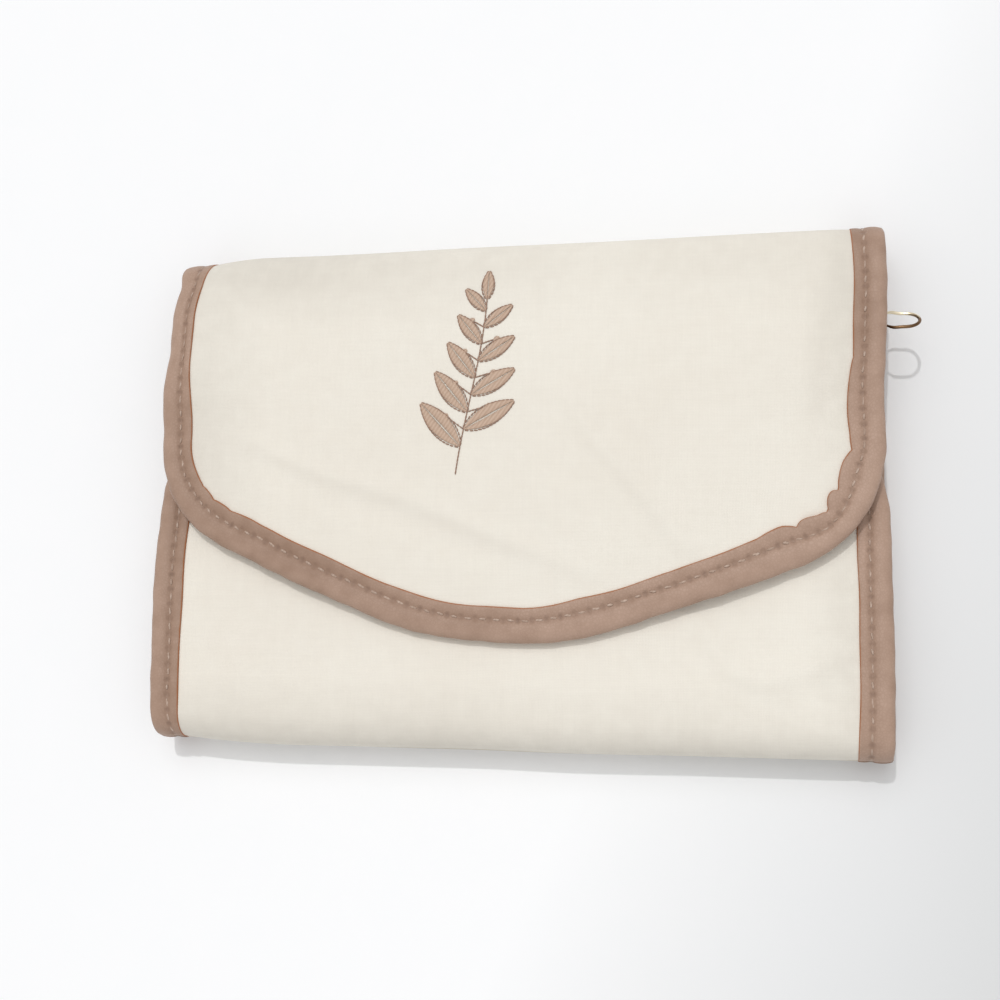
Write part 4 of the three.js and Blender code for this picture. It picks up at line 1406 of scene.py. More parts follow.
@dataclass
class Shell:
    """The case's sheet: canvas, padding and lining in four parts, each bending at one fold."""

    case: Case
    wardrobe: Wardrobe
    bends: dict[Part, Bend]
    columns: int = 170
    inset: float = 0.82 * MM
    inner_share: float = 0.55
    rim_crowding: float = 0.14

    def nodes_of(self, part: Part, layer: str) -> tuple[str, ...]:
        """Returns the CAD nodes that a part's layer stands for.

        Args:
            part: The part.
            layer: The layer's name.
        """
        names = {
            Part.FLAP: ("top_fold", "flap"),
            Part.UPPER_BACK: ("back", "top_fold"),
            Part.LOWER_BACK: ("back", "bottom_fold"),
            Part.FRONT: ("bottom_fold", "front"),
        }[part]
        return tuple(f"{name}_{layer}" for name in names)

    def pattern(self, part: Part, depth: float, thickness: float) -> Mapping:
        """Returns how the unit slab becomes a part's flat pattern.

        Args:
            part: The part.
            depth: The layer's depth under the outer face.
            thickness: The layer's thickness.
        """
        profile, sizes = self.case.profile, self.case.sizes
        half = sizes.half_width - self.inset

        def flat(unit: np.ndarray) -> np.ndarray:
            """Turns unit places into x, run length and depth."""
            across = 2 * unit[:, 0] - 1
            crowded = np.sin(across * QUARTER_TURN)
            x = half * ((1 - self.rim_crowding) * across + self.rim_crowding * crowded)
            if part is Part.FLAP:
                free = profile.run_at(part, self.case.flap_edge(x, self.inset))
                fixed = profile.top_middle
            elif part is Part.FRONT:
                free = profile.run_at(part, self.case.front_edge(x, self.inset))
                fixed = profile.bottom_middle
            else:
                free = 0 * x + profile.back_middle
                fixed = profile.top_middle if part is Part.UPPER_BACK else profile.bottom_middle
            run = free + (fixed - free) * unit[:, 1]
            return joined(x, run, depth + thickness * unit[:, 2])

        return flat

    def area(self, part: Part) -> tuple[tuple[float, float], float]:
        """Returns the flat size and area of a part's cut.

        Args:
            part: The part.
        """
        flat = self.pattern(part, 0.0, 0.0)
        across = np.linspace(0, 1, 401)
        free = flat(joined(across, 0 * across, 0 * across))
        fixed = flat(joined(across, 0 * across + 1, 0 * across))
        lengths = np.abs(fixed[:, 1] - free[:, 1])
        width = float(free[-1, 0] - free[0, 0])
        area = float(np.sum((lengths[1:] + lengths[:-1]) / 2 * np.diff(free[:, 0])))
        return (width, float(lengths.max())), area

    def make_layer(self, part: Part, layer: str, depth: float, thickness: float, rows: int) -> None:
        """Makes one layer of one part.

        Args:
            part: The part.
            layer: Which layer: canvas, padding or lining.
            depth: Its depth under the outer face.
            thickness: Its thickness.
            rows: Divisions along the run.
        """
        name = f"soft_{part.value}_{layer}"
        lay = lambda flat: self.case.place(flat, part)
        share = 1.0 if layer == "canvas" else self.inner_share
        shape = slab(int(self.columns * share), int(rows * share))
        piece = Piece(name, shape, self.pattern(part, depth, thickness), lay).build()
        self.bends[part].apply(piece)
        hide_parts(*self.nodes_of(part, layer))
        if layer == "padding":
            self.wardrobe.dress(piece, "batting_cloth")
        else:
            size, area = self.area(part)
            self.wardrobe.dress(piece, f"{layer}_cloth")

    def build(self) -> None:
        """Makes every layer of every part."""
        s = self.case.sizes
        rows = {Part.FLAP: 120, Part.UPPER_BACK: 70, Part.LOWER_BACK: 70, Part.FRONT: 90}
        for part in Part:
            self.make_layer(part, "canvas", 0.0, s.canvas, rows[part])
            self.make_layer(part, "padding", s.canvas + s.gap, s.padding, rows[part])
            self.make_layer(part, "lining", s.lining_depth, s.lining, rows[part])
            LOG.info("laid the %s panel", part.value)


# The binding's rolled outer face: distance from the edge and depth under the canvas's face, in millimetres.
SECTION = (
    (10.95, 0.02), (11.05, -0.28), (10.95, -0.55), (10.6, -0.78), (9.9, -0.92), (9.1, -0.92), (8.4, -0.78),
    (7.7, -0.5), (7.1, -0.4), (6.6, -0.52), (6.0, -1.0), (4.9, -1.38), (3.7, -1.5), (2.5, -1.34), (1.4, -0.9),
    (0.5, -0.2), (0.1, 0.6),
)


# Where the binding's inner edge is eased round the flap's corners: x and y in millimetres.
RIGHT_NOTCHES = ((114.6, 41), (113.1, 9.5), (110.3, -3.7), (106, -10.3), (95.3, -15.2), (84, -19.5))
LEFT_NOTCHES = ((-88.1, -16), (-98.8, -10.5), (-106, -6.2), (-110.2, -1))


NOTCH_DEPTH = 0.3  # the share of a lobe's height by which its notches cut in


@dataclass(frozen=True)
class Pucker:
    """Lobes of a binding's inner edge between sharp notches, where it is eased round a corner.

    The notches are run lengths, and there is one height for each lobe between them.
    """

    notches: tuple[float, ...]
    heights: tuple[float, ...]

    def at(self, t: np.ndarray) -> np.ndarray:
        """Returns how far the edge stands inward at each run length."""
        out = 0 * t
        for low, high, height in zip(self.notches, self.notches[1:], self.heights):
            share = np.clip((t - low) / (high - low), 0, 1)
            arch = np.sqrt(np.clip(np.sin(math.pi * share), 0, 1)) - NOTCH_DEPTH
            out = out + np.where((t > low) & (t < high), height * arch, 0.0)
        return out


@dataclass
class Bindings:
    """The leather bindings round the panels' edges, with their topstitching."""

    case: Case
    wardrobe: Wardrobe
    bends: dict[Part, Bend]
    seed: int = 7
    count: int = 0
    slot_slack: float = 0.05 * MM
    slot_ends: tuple[float, float, float] = (10.8 * MM, 6 * MM, 0.76 * MM)
    under_height: float = 0.6
    back_height: float = 0.7
    fold_height: float = 0.42
    lean_from: float = 6.8 * MM
    lean_over: float = 4 * MM
    ripple: float = 0.06 * MM
    ripple_width: float = 5 * MM
    step: float = 1.3 * MM

    def section(self) -> np.ndarray:
        """Returns the closed section as rows of distance to the inner side and depth."""
        stack = self.case.sizes.stack
        outer = np.array(SECTION) * MM
        middle = np.array([[0.0, stack / 2]])
        inner = outer[::-1].copy()
        inner[:, 1] = stack - np.where(inner[:, 1] < 0, inner[:, 1] * self.under_height, inner[:, 1])
        slot = [(end, stack + self.slot_slack) for end in self.slot_ends]
        slot += [(end, -self.slot_slack) for end in reversed(self.slot_ends)]
        return np.concatenate([outer, middle, inner, np.array(slot)])

    def make_binding(
        self, name: str, part: Part, trace: Trace, puckers: Sequence[Pucker], nodes: Sequence[str]
    ) -> None:
        """Makes one length of binding and its two rows of stitches.

        Args:
            name: The piece's name.
            part: The part that it binds.
            trace: The part's edge.
            puckers: Waves of its inner edge.
            nodes: The CAD nodes that it stands for.
        """
        section = self.section()
        count = len(section)
        width = self.case.sizes.binding
        wobble = np.random.default_rng(self.seed).normal(0, 1, 6)
        stretch = int(trace.length / STITCH_PITCH) * STITCH_PITCH / trace.length
        on_back = part in (Part.UPPER_BACK, Part.LOWER_BACK)
        height = self.back_height if on_back else 1.0

        def pressed(t: np.ndarray) -> np.ndarray:
            """Returns how much of the section's height is left, least over the fold."""
            from_fold = t if on_back else np.minimum(t, trace.length - t)
            return height + (self.fold_height - height) * ease((24 * MM - from_fold) / (12 * MM))

        def leaning(inward: np.ndarray) -> np.ndarray:
            """Returns how far a place is taken along with the inner edge."""
            return ease((inward - self.lean_from) / self.lean_over)

        def waves(t: np.ndarray, lean: np.ndarray) -> tuple[np.ndarray, np.ndarray]:
            """Returns how far the inner edge shifts inward, and how much the section swells."""
            shift = 0.16 * MM * np.sin(t * 190 + wobble[0]) + 0.12 * MM * np.sin(t * 83 + wobble[1])
            puff = 1 + 0.05 * np.sin(t * 120 + wobble[2]) + 0.03 * np.sin(t * 310 + wobble[3])
            for item in puckers:
                lobe = item.at(t)
                shift = shift + lobe
                puff = puff + 0.5 * lobe / MM * lean
            return shift, puff

        def pattern(unit: np.ndarray) -> np.ndarray:
            """Turns the unit tube into run, distance from the inner edge, and depth."""
            t = unit[:, 0] * trace.length
            index = np.rint(np.arctan2(unit[:, 2], unit[:, 1]) / (2 * math.pi) * count).astype(int) % count
            inward, depth = section[index].T
            puff = waves(t, leaning(inward))[1]
            depth = np.where(depth < -0.1 * MM, depth * puff * pressed(t), depth)
            return joined(t * stretch, width - inward, depth)

        def lay(flat: np.ndarray) -> np.ndarray:
            """Lays the binding's pattern."""
            t, inward = flat[:, 0] / stretch, width - flat[:, 1]
            lean = leaning(inward)
            outer = ease((self.ripple_width - inward) / self.ripple_width) * self.ripple
            ripple = np.sin(t * 420 + wobble[4]) + np.sin(t * 655 + wobble[5])
            inward = inward + waves(t, lean)[0] * lean + ripple * outer
            return self.case.place(trace.flat(joined(t, inward, flat[:, 2])), part)

        rings = int(trace.length / self.step)
        piece = Piece(name, tube(rings, count), pattern, lay, math.radians(50)).build()
        self.bends[part].apply(piece)
        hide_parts(*nodes)
        self.wardrobe.dress(piece, "binding_leather")
        self.count += 1
        rng = np.random.default_rng(self.seed + self.count)
        stack = self.case.sizes.stack
        rows = seam(trace, STITCH_ROW, -0.52 * MM, rng) + seam(trace, STITCH_ROW, stack + 0.32 * MM, rng)

        def lay_thread(flat: np.ndarray) -> np.ndarray:
            """Lays the topstitching in the binding's groove."""
            sunk = flat.copy()
            sunk[:, 2] = np.where(flat[:, 2] < 0, flat[:, 2] * pressed(flat[:, 0]), flat[:, 2])
            return self.case.place(trace.flat(sunk), part)

        threads = stitched(f"{name}_stitches", rows, lay_thread)
        self.bends[part].apply(threads)
        self.wardrobe.dress(threads, "seam_thread")

    def build(self) -> None:
        """Makes every binding."""
        profile, half, width = self.case.profile, self.case.sizes.half_width, self.case.sizes.binding
        flap = flap_trace(self.case)
        inner = self.case.place(flap.flat(joined(flap.t, 0 * flap.t + width, 0 * flap.t)), Part.FLAP)
        find = lambda x, y: float(flap.t[np.argmin(np.hypot(inner[:, 0] - x * MM, inner[:, 1] - y * MM))])
        right = tuple(find(*place) for place in RIGHT_NOTCHES)
        left = tuple(find(*place) for place in LEFT_NOTCHES)
        waves = (
            Pucker(right, (1.8 * MM, 1.8 * MM, 3.4 * MM, 3.3 * MM, 0.6 * MM)),
            Pucker(left, (0.5 * MM, 0.8 * MM, 0.6 * MM)),
        )
        nodes = ("flap_binding", "top_fold_binding_left", "top_fold_binding_right")
        self.make_binding("leather_flap_binding", Part.FLAP, flap, waves, nodes)
        front = front_trace(self.case)
        bend = front.length / 2 - half + 20 * MM
        notches = (bend - 12 * MM, bend - 4 * MM, bend + 4 * MM, bend + 12 * MM)
        waves = (Pucker(notches, (0.3 * MM, 0.4 * MM, 0.3 * MM)),)
        nodes = ("front_binding", "bottom_fold_binding_left", "bottom_fold_binding_right")
        self.make_binding("leather_front_binding", Part.FRONT, front, waves, nodes)
        for side in Side:
            word = side.name.lower()
            edge = side.value * half
            for part, fold, start in (
                (Part.UPPER_BACK, "top_fold", profile.top_middle),
                (Part.LOWER_BACK, "bottom_fold", profile.bottom_middle),
            ):
                trace = Trace(np.array([[edge, start], [edge, profile.back_middle]]), np.array([0.0, start]))
                nodes = (f"back_binding_{word}", f"{fold}_binding_{word}")
                self.make_binding(f"leather_{part.value}_binding_{word}", part, trace, (), nodes)
        LOG.info("sewed %d bindings", self.count)


@dataclass
class Sprig:
    """A leafy sprig in satin stitch on the flap's canvas."""

    case: Case
    wardrobe: Wardrobe
    bends: dict[Part, Bend]
    centre: tuple[float, float] = (-12 * MM, 35 * MM)
    height: float = 64 * MM
    bow: float = 5 * MM
    bow_turn: float = 2.4
    strand: float = 0.55 * MM
    leaves: int = 9
    stem_stitches: int = 46
    berry: float = 1.05 * MM
    seed: int = 11

    def stem(self, share: float) -> tuple[float, float, float]:
        """Returns the stem's x, y and heading at a share of its height."""
        angle = self.bow_turn * share - 0.9
        x = self.centre[0] + self.bow * math.sin(angle) - 1.5 * MM
        y = self.centre[1] + self.height * (share - 0.5)
        return x, y, math.atan2(self.height, self.bow * self.bow_turn * math.cos(angle))

    @staticmethod
    def half_width(width: float, share: float) -> float:
        """Returns half a leaf's width at a share of its length."""
        return width / 2 * math.sin(math.pi * share**0.85) ** 0.8

    def leaf(
        self, x: float, y: float, heading: float, length: float, width: float
    ) -> tuple[list[PlanRow], list[PlanRow]]:
        """Returns one leaf's satin strands and its outline stitches, as plan rows.

        Args:
            x: The x of the leaf's foot.
            y: The y of its foot.
            heading: The direction that it points in.
            length: Its length.
            width: Its full width.
        """
        ax, ay = math.cos(heading), math.sin(heading)
        strands, outline = [], []
        count = int(length / (self.strand * 0.62))
        for i in range(count):
            share = (i + 0.7) / (count + 0.6)
            half = self.half_width(width, share)
            if half < 0.25 * MM:
                continue
            for side in (-1, 1):
                slant = heading + side * math.radians(62)
                cx = x + ax * length * share + math.cos(slant) * half * 0.52
                cy = y + ay * length * share + math.sin(slant) * half * 0.52
                strands.append((cx, cy, half * 1.02, slant))
        steps = max(6, int(length / (1.3 * MM)))
        for side in (-1, 1):
            for i in range(steps):
                share = (i + 0.5) / steps
                half = self.half_width(width, share) + 0.25 * MM
                tilt = side * math.atan(width / length * 1.5 * math.cos(math.pi * share))
                cx = x + ax * length * (share + 0.10 * (half / length)) - ay * side * half * 0.86
                cy = y + ay * length * (share + 0.10 * (half / length)) + ax * side * half * 0.86
                outline.append((cx, cy, length / steps * 1.12, heading + tilt))
        return strands, outline

    def dot(self, x: float, y: float) -> list[PlanRow]:
        """Returns the strands of a berry as plan rows.

        Args:
            x: The x of its middle.
            y: The y of its middle.
        """
        count, lean = max(3, int(2 * self.berry / (self.strand * 0.66))), 0.5
        rows = []
        for i in range(count):
            off = self.berry * ((i + 0.5) / count * 2 - 1)
            length = 2 * math.sqrt(self.berry**2 - off**2)
            rows.append((x + off * math.cos(lean), y + off * math.sin(lean), length, lean + QUARTER_TURN))
        return rows

    def build(self) -> None:
        """Makes the strands and the outline."""
        rng = np.random.default_rng(self.seed)
        strands, outline = [], []
        for i in range(self.leaves):
            share = 0.14 + 0.094 * i
            side = 1 if i % 2 else -1
            x, y, heading = self.stem(share)
            length = (21 - 1.2 * i) * MM
            leaf = self.leaf(x, y, heading - side * math.radians(52 - i), length, length * 0.40)
            strands += leaf[0]
            outline += leaf[1]
            if 0 < i < self.leaves - 1:
                reach = (8.6 - 0.5 * i) * MM
                turn = heading + side * math.radians(64)
                strands += self.dot(x + reach * math.cos(turn), y + reach * math.sin(turn))
                for j in range(4):
                    along = reach * (j + 0.6) / 5.4
                    outline.append((x + along * math.cos(turn), y + along * math.sin(turn), 1.5 * MM, turn))
        x, y, heading = self.stem(0.96)
        leaf = self.leaf(x, y, heading, 11 * MM, 4.6 * MM)
        strands += leaf[0]
        outline += leaf[1]
        for i in range(self.stem_stitches):
            x, y, heading = self.stem(i / (self.stem_stitches - 1) * 0.97)
            outline.append((x, y, 1.75 * MM, heading))
        lay = lambda flat: self.case.place(flat, Part.FLAP)
        for name, rows, finish, width, rise in (
            ("satin_sprig", strands, "satin_thread", self.strand, 0.18 * MM),
            ("satin_sprig_outline", outline, "outline_thread", self.strand * 0.95, 0.22 * MM),
        ):
            places = np.array([(row[0], row[1]) for row in rows])
            runs = self.case.profile.run_at(Part.FLAP, places[:, 1])
            turns = np.array([row[3] for row in rows]) + rng.normal(0, 0.03, len(rows))
            stitches = [
                Stitch((float(p[0]), float(s), -rise), row[2], width, 0.42 * MM, float(turn))
                for p, s, row, turn in zip(places, runs, rows, turns)
            ]
            piece = stitched(name, stitches, lay)
            self.bends[Part.FLAP].apply(piece)
            self.wardrobe.dress(piece, finish)
        LOG.info("embroidered %d strands", len(strands) + len(outline))


class Cloth(Enum):
    """The two kinds of cloth that are sewn on."""

    POCKET = "pocket"
    TAPE = "tape"


@dataclass(frozen=True)
class Cut:
    """How a kind of cloth is cut, and what it is made of."""

    half: float
    thickness: float
    slot: str
    finish: str


CUTS = {
    Cloth.POCKET: Cut(111 * MM, 0.5 * MM, "lining", "pocket_cloth"),
    Cloth.TAPE: Cut(115.5 * MM, 0.6 * MM, "zip_tape", "tape_cloth"),
}


@dataclass(frozen=True)
class Patch:
    """A pocket or a zip tape that is sewn to the lining, between two heights on a part."""

    stem: str
    cloth: Cloth
    part: Part
    low_y: float
    high_y: float
    seams: tuple[str, ...]

    @property
    def node(self) -> str:
        """The CAD node that it stands for."""
        return self.stem.replace("_tape", "_zip_tape")

    @property
    def body(self) -> str:
        """The body that it is sewn to."""
        return self.stem.split("_")[0]


PATCHES = (
    Patch("flap_pocket", Cloth.POCKET, Part.FLAP, -5.5 * MM, 44.5 * MM, ("low", "ends", "high")),
    Patch("flap_tape_lower", Cloth.TAPE, Part.FLAP, 44.83 * MM, 53.1 * MM, ("low",)),
    Patch("flap_tape_upper", Cloth.TAPE, Part.FLAP, 58.53 * MM, 66.8 * MM, ("high",)),
    Patch("back_pocket", Cloth.POCKET, Part.LOWER_BACK, -62.5 * MM, 11.5 * MM, ("low", "ends", "high")),
    Patch("back_tape_lower", Cloth.TAPE, Part.LOWER_BACK, 12 * MM, 20.28 * MM, ("low",)),
    Patch("back_tape_upper", Cloth.TAPE, Part.LOWER_BACK, 25.72 * MM, 34 * MM, ("high",)),
    Patch("front_pocket", Cloth.POCKET, Part.FRONT, -67 * MM, -5 * MM, ("low", "ends", "hem")),
)


@dataclass
class Patchwork:
    """The pockets and the zip tapes, sewn to the lining."""

    case: Case
    wardrobe: Wardrobe
    seed: int = 23
    columns: int = 150
    edge_room: float = 12.2 * MM
    least: float = 10 * MM

    def limit(self, patch: Patch, x: np.ndarray) -> np.ndarray:
        """Returns the y of a patch's lower edge at each x: the flap's pocket follows the flap's edge.

        Args:
            patch: The patch.
            x: The x values.
        """
        if patch.part is Part.FLAP and patch.cloth is Cloth.POCKET:
            return np.maximum(patch.low_y, self.case.flap_edge(x, self.edge_room))
        return 0 * x + patch.low_y

    def place(self, flat: np.ndarray, patch: Patch) -> np.ndarray:
        """Lays a patch, whose rows are x, y and depth, on its part.

        Args:
            flat: The rows.
            patch: The patch.

        Returns:
            Rows of x, y and z.
        """
        profile = self.case.profile
        x, y, depth = flat.T
        run = profile.back_middle - y if patch.part is Part.LOWER_BACK else profile.run_at(patch.part, y)
        return self.case.place(joined(x, run, depth), patch.part)

    def build_patch(self, patch: Patch, rng: np.random.Generator) -> None:
        """Makes one patch with its seams.

        Args:
            patch: The patch.
            rng: Seeded numbers for the seams.
        """
        sizes, cut = self.case.sizes, CUTS[patch.cloth]
        depth = sizes.stack + sizes.gap
        height = patch.high_y - patch.low_y

        def pattern(unit: np.ndarray) -> np.ndarray:
            """Turns the unit slab into x, y and depth."""
            x = (2 * unit[:, 0] - 1) * cut.half
            low = self.limit(patch, x)
            return joined(x, low + (patch.high_y - low) * unit[:, 1], depth + cut.thickness * unit[:, 2])

        lay = lambda flat: self.place(flat, patch)
        name = f"sewn_{patch.stem}"
        shape = slab(self.columns, max(8, int(height / (1.2 * MM))))
        piece = Piece(name, shape, pattern, lay).build()
        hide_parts(patch.node)
        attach(piece, patch.body)
        self.wardrobe.dress(piece, cut.finish)
        top = depth + cut.thickness
        stitches = [item for edge in patch.seams for item in self.edge_seam(patch, edge, top, rng)]
        threads = stitched(f"{name}_stitches", stitches, lay)
        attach(threads, patch.body)
        self.wardrobe.dress(threads, "lining_thread")

    def edge_seam(self, patch: Patch, edge: str, top: float, rng: np.random.Generator) -> list[Stitch]:
        """Returns a row of stitches along one edge of a patch.

        Args:
            patch: The patch.
            edge: Which edge: low, high, hem or ends.
            top: The depth of the patch's inner face.
            rng: Seeded numbers for small unevenness.
        """
        inset, pitch, half = 1.6 * MM, LINING_PITCH, CUTS[patch.cloth].half
        rows = []
        if edge == "ends":
            for side in (-1, 1):
                x = side * (half - inset)
                low = float(self.limit(patch, np.array([x]))[0])
                for i in range(int((patch.high_y - low - 2 * inset) / pitch)):
                    rows.append((x, low + inset + (i + 0.5) * pitch, QUARTER_TURN))
        else:
            for i in range(int((2 * half - 2 * inset) / pitch)):
                x = inset - half + (i + 0.5) * pitch
                low = float(self.limit(patch, np.array([x]))[0])
                y = {"low": low + inset, "high": patch.high_y - inset, "hem": patch.high_y - 5 * MM}[edge]
                rows.append((x, y, 0.0))
        lift = 0.08 * MM
        drift = rng.normal(0, 0.03, len(rows))
        return [
            Stitch((x, y, top + lift), pitch * 0.78, 0.45 * MM, 0.34 * MM, turn + float(d))
            for (x, y, turn), d in zip(rows, drift)
        ]

    def build(self) -> None:
        """Makes every patch."""
        for index, patch in enumerate(PATCHES):
            self.build_patch(patch, np.random.default_rng(self.seed + index))
        LOG.info("sewed %d patches", len(PATCHES))


@dataclass
class Hardware:
    """The metal: zip chains and stops, sliders and their wire pulls, and the snaps."""

    wardrobe: Wardrobe
    nodes: dict[str, bpy.types.Object]
    wire_thinning: float = 0.05 * MM
    twist_reach: float = 19 * MM
    twist_length: float = 13 * MM

    def fit(self, name: str, nodes: Sequence[str], body: str, finish: str, bevel: float) -> bpy.types.Object:
        """Makes one refined piece that stands for CAD nodes of one body.

        Args:
            name: The piece's name.
            nodes: The nodes.
            body: Their body.
            finish: The finish's name.
            bevel: The edges' rounding.

        Returns:
            The piece.
        """
        piece = refined(name, [self.nodes[node] for node in nodes], bevel)
        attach(piece, body)
        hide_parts(*nodes)
        self.wardrobe.dress(piece, finish)
        return piece

    @staticmethod
    def pinched(co: np.ndarray, share: np.ndarray, low: Vector, high: Vector) -> np.ndarray:
        """Returns the twisted pull with its neck pinched and its end sunk and drawn in.

        Args:
            co: The places of its vertices.
            share: How much of the twist each vertex has.
            low: The lower corner of the pull's box.
            high: The upper corner.
        """
        x, y, z = co.T
        centre = (low + high) / 2
        pinch = ease((high.x - 8.5 * MM - x) / (5 * MM)) * ease((x - low.x - 5 * MM) / (4 * MM))
        neck = 1 - 0.5 * pinch
        drawn, sunk = 2.2 * MM * ease((x - 111 * MM) / (16 * MM)), 1.2 * MM * share
        return joined(
            x - drawn, centre.y - sunk + (y - centre.y) * neck, centre.z + (z - centre.z) * (0.5 + 0.5 * neck)
        )

    @staticmethod
    def drooping(co: np.ndarray, low: Vector, high: Vector) -> np.ndarray:
        """Returns the straight pull with its end lower and shorter, clear of the binding as it swings.

        Args:
            co: The places of its vertices.
            low: The lower corner of the pull's box.
            high: The upper corner.
        """
        along = (co[:, 0] - low.x) / (high.x - low.x)
        return joined(co[:, 0] - 1.7 * MM * along, co[:, 1], co[:, 2] - 0.7 * MM * along**2)

    def wire(self, name: str, node: str, body: str, twist: float) -> None:
        """Makes a smooth round wire pull.

        Args:
            name: The piece's name.
            node: The CAD node.
            body: Its body.
            twist: How far use has turned the loop's end about the pull's length.
        """
        piece = refined(name, [self.nodes[node]], 0.0, turn=180.0)
        mesh = piece.data
        low, high = (Vector(corner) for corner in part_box(node))
        centre = (low + high) / 2
        co = vertex_rows(mesh, "co")
        share = ease((co[:, 0] - high.x + self.twist_reach) / self.twist_length)
        angle = twist * share
        y, z = co[:, 1] - centre.y, co[:, 2] - centre.z
        co[:, 1] = centre.y + y * np.cos(angle) - z * np.sin(angle)
        co[:, 2] = centre.z + y * np.sin(angle) + z * np.cos(angle)
        mesh.vertices.foreach_set("co", co.ravel())
        mesh.update()
        mesh.shade_smooth()
        bent = self.pinched(co, share, low, high) if twist else self.drooping(co, low, high)
        bent -= vertex_rows(mesh, "normal") * self.wire_thinning
        mesh.vertices.foreach_set("co", bent.ravel())
        smooth = piece.modifiers.new("round", "SUBSURF")
        smooth.levels = smooth.render_levels = 2
        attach(piece, body)
        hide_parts(node)
        self.wardrobe.dress(piece, "wire_gold" if twist else "pale_gold")

    def build(self) -> None:
        """Makes every metal piece."""
        for panel in ("flap", "back"):
            stem = f"{panel}_zip"
            for side in ("upper", "lower"):
                teeth = (f"{stem}_teeth_{side}",)
                self.fit(f"metal_{stem}_chain_{side}", teeth, panel, "zip_gold", 0.06 * MM)
            for side in ("left", "right"):
                self.fit(f"metal_{stem}_stop_{side}", (f"{stem}_stop_{side}",), panel, "zip_gold", 0.12 * MM)
            self.fit(f"metal_{stem}_slider", (f"{stem}_slider",), f"{panel}_slider", "pale_gold", 0.16 * MM)
        self.wire("metal_flap_zip_pull", "flap_zip_pull", "flap_pull", math.radians(-42))
        self.wire("metal_back_zip_pull", "back_zip_pull", "back_pull", 0.0)
        for node, body, bevel in (
            ("snap_socket", "front", 0.14 * MM),
            ("snap_stud", "flap", 0.14 * MM),
            ("ring_bar_snap_stud", "back", 0.12 * MM),
            ("ring_bar_snap_cap", "ring_strap", 0.14 * MM),
        ):
            self.fit(f"metal_{node}", (node,), body, "pale_gold", bevel)
        LOG.info("fitted the metal")


ROUTE_SMOOTHING = 12


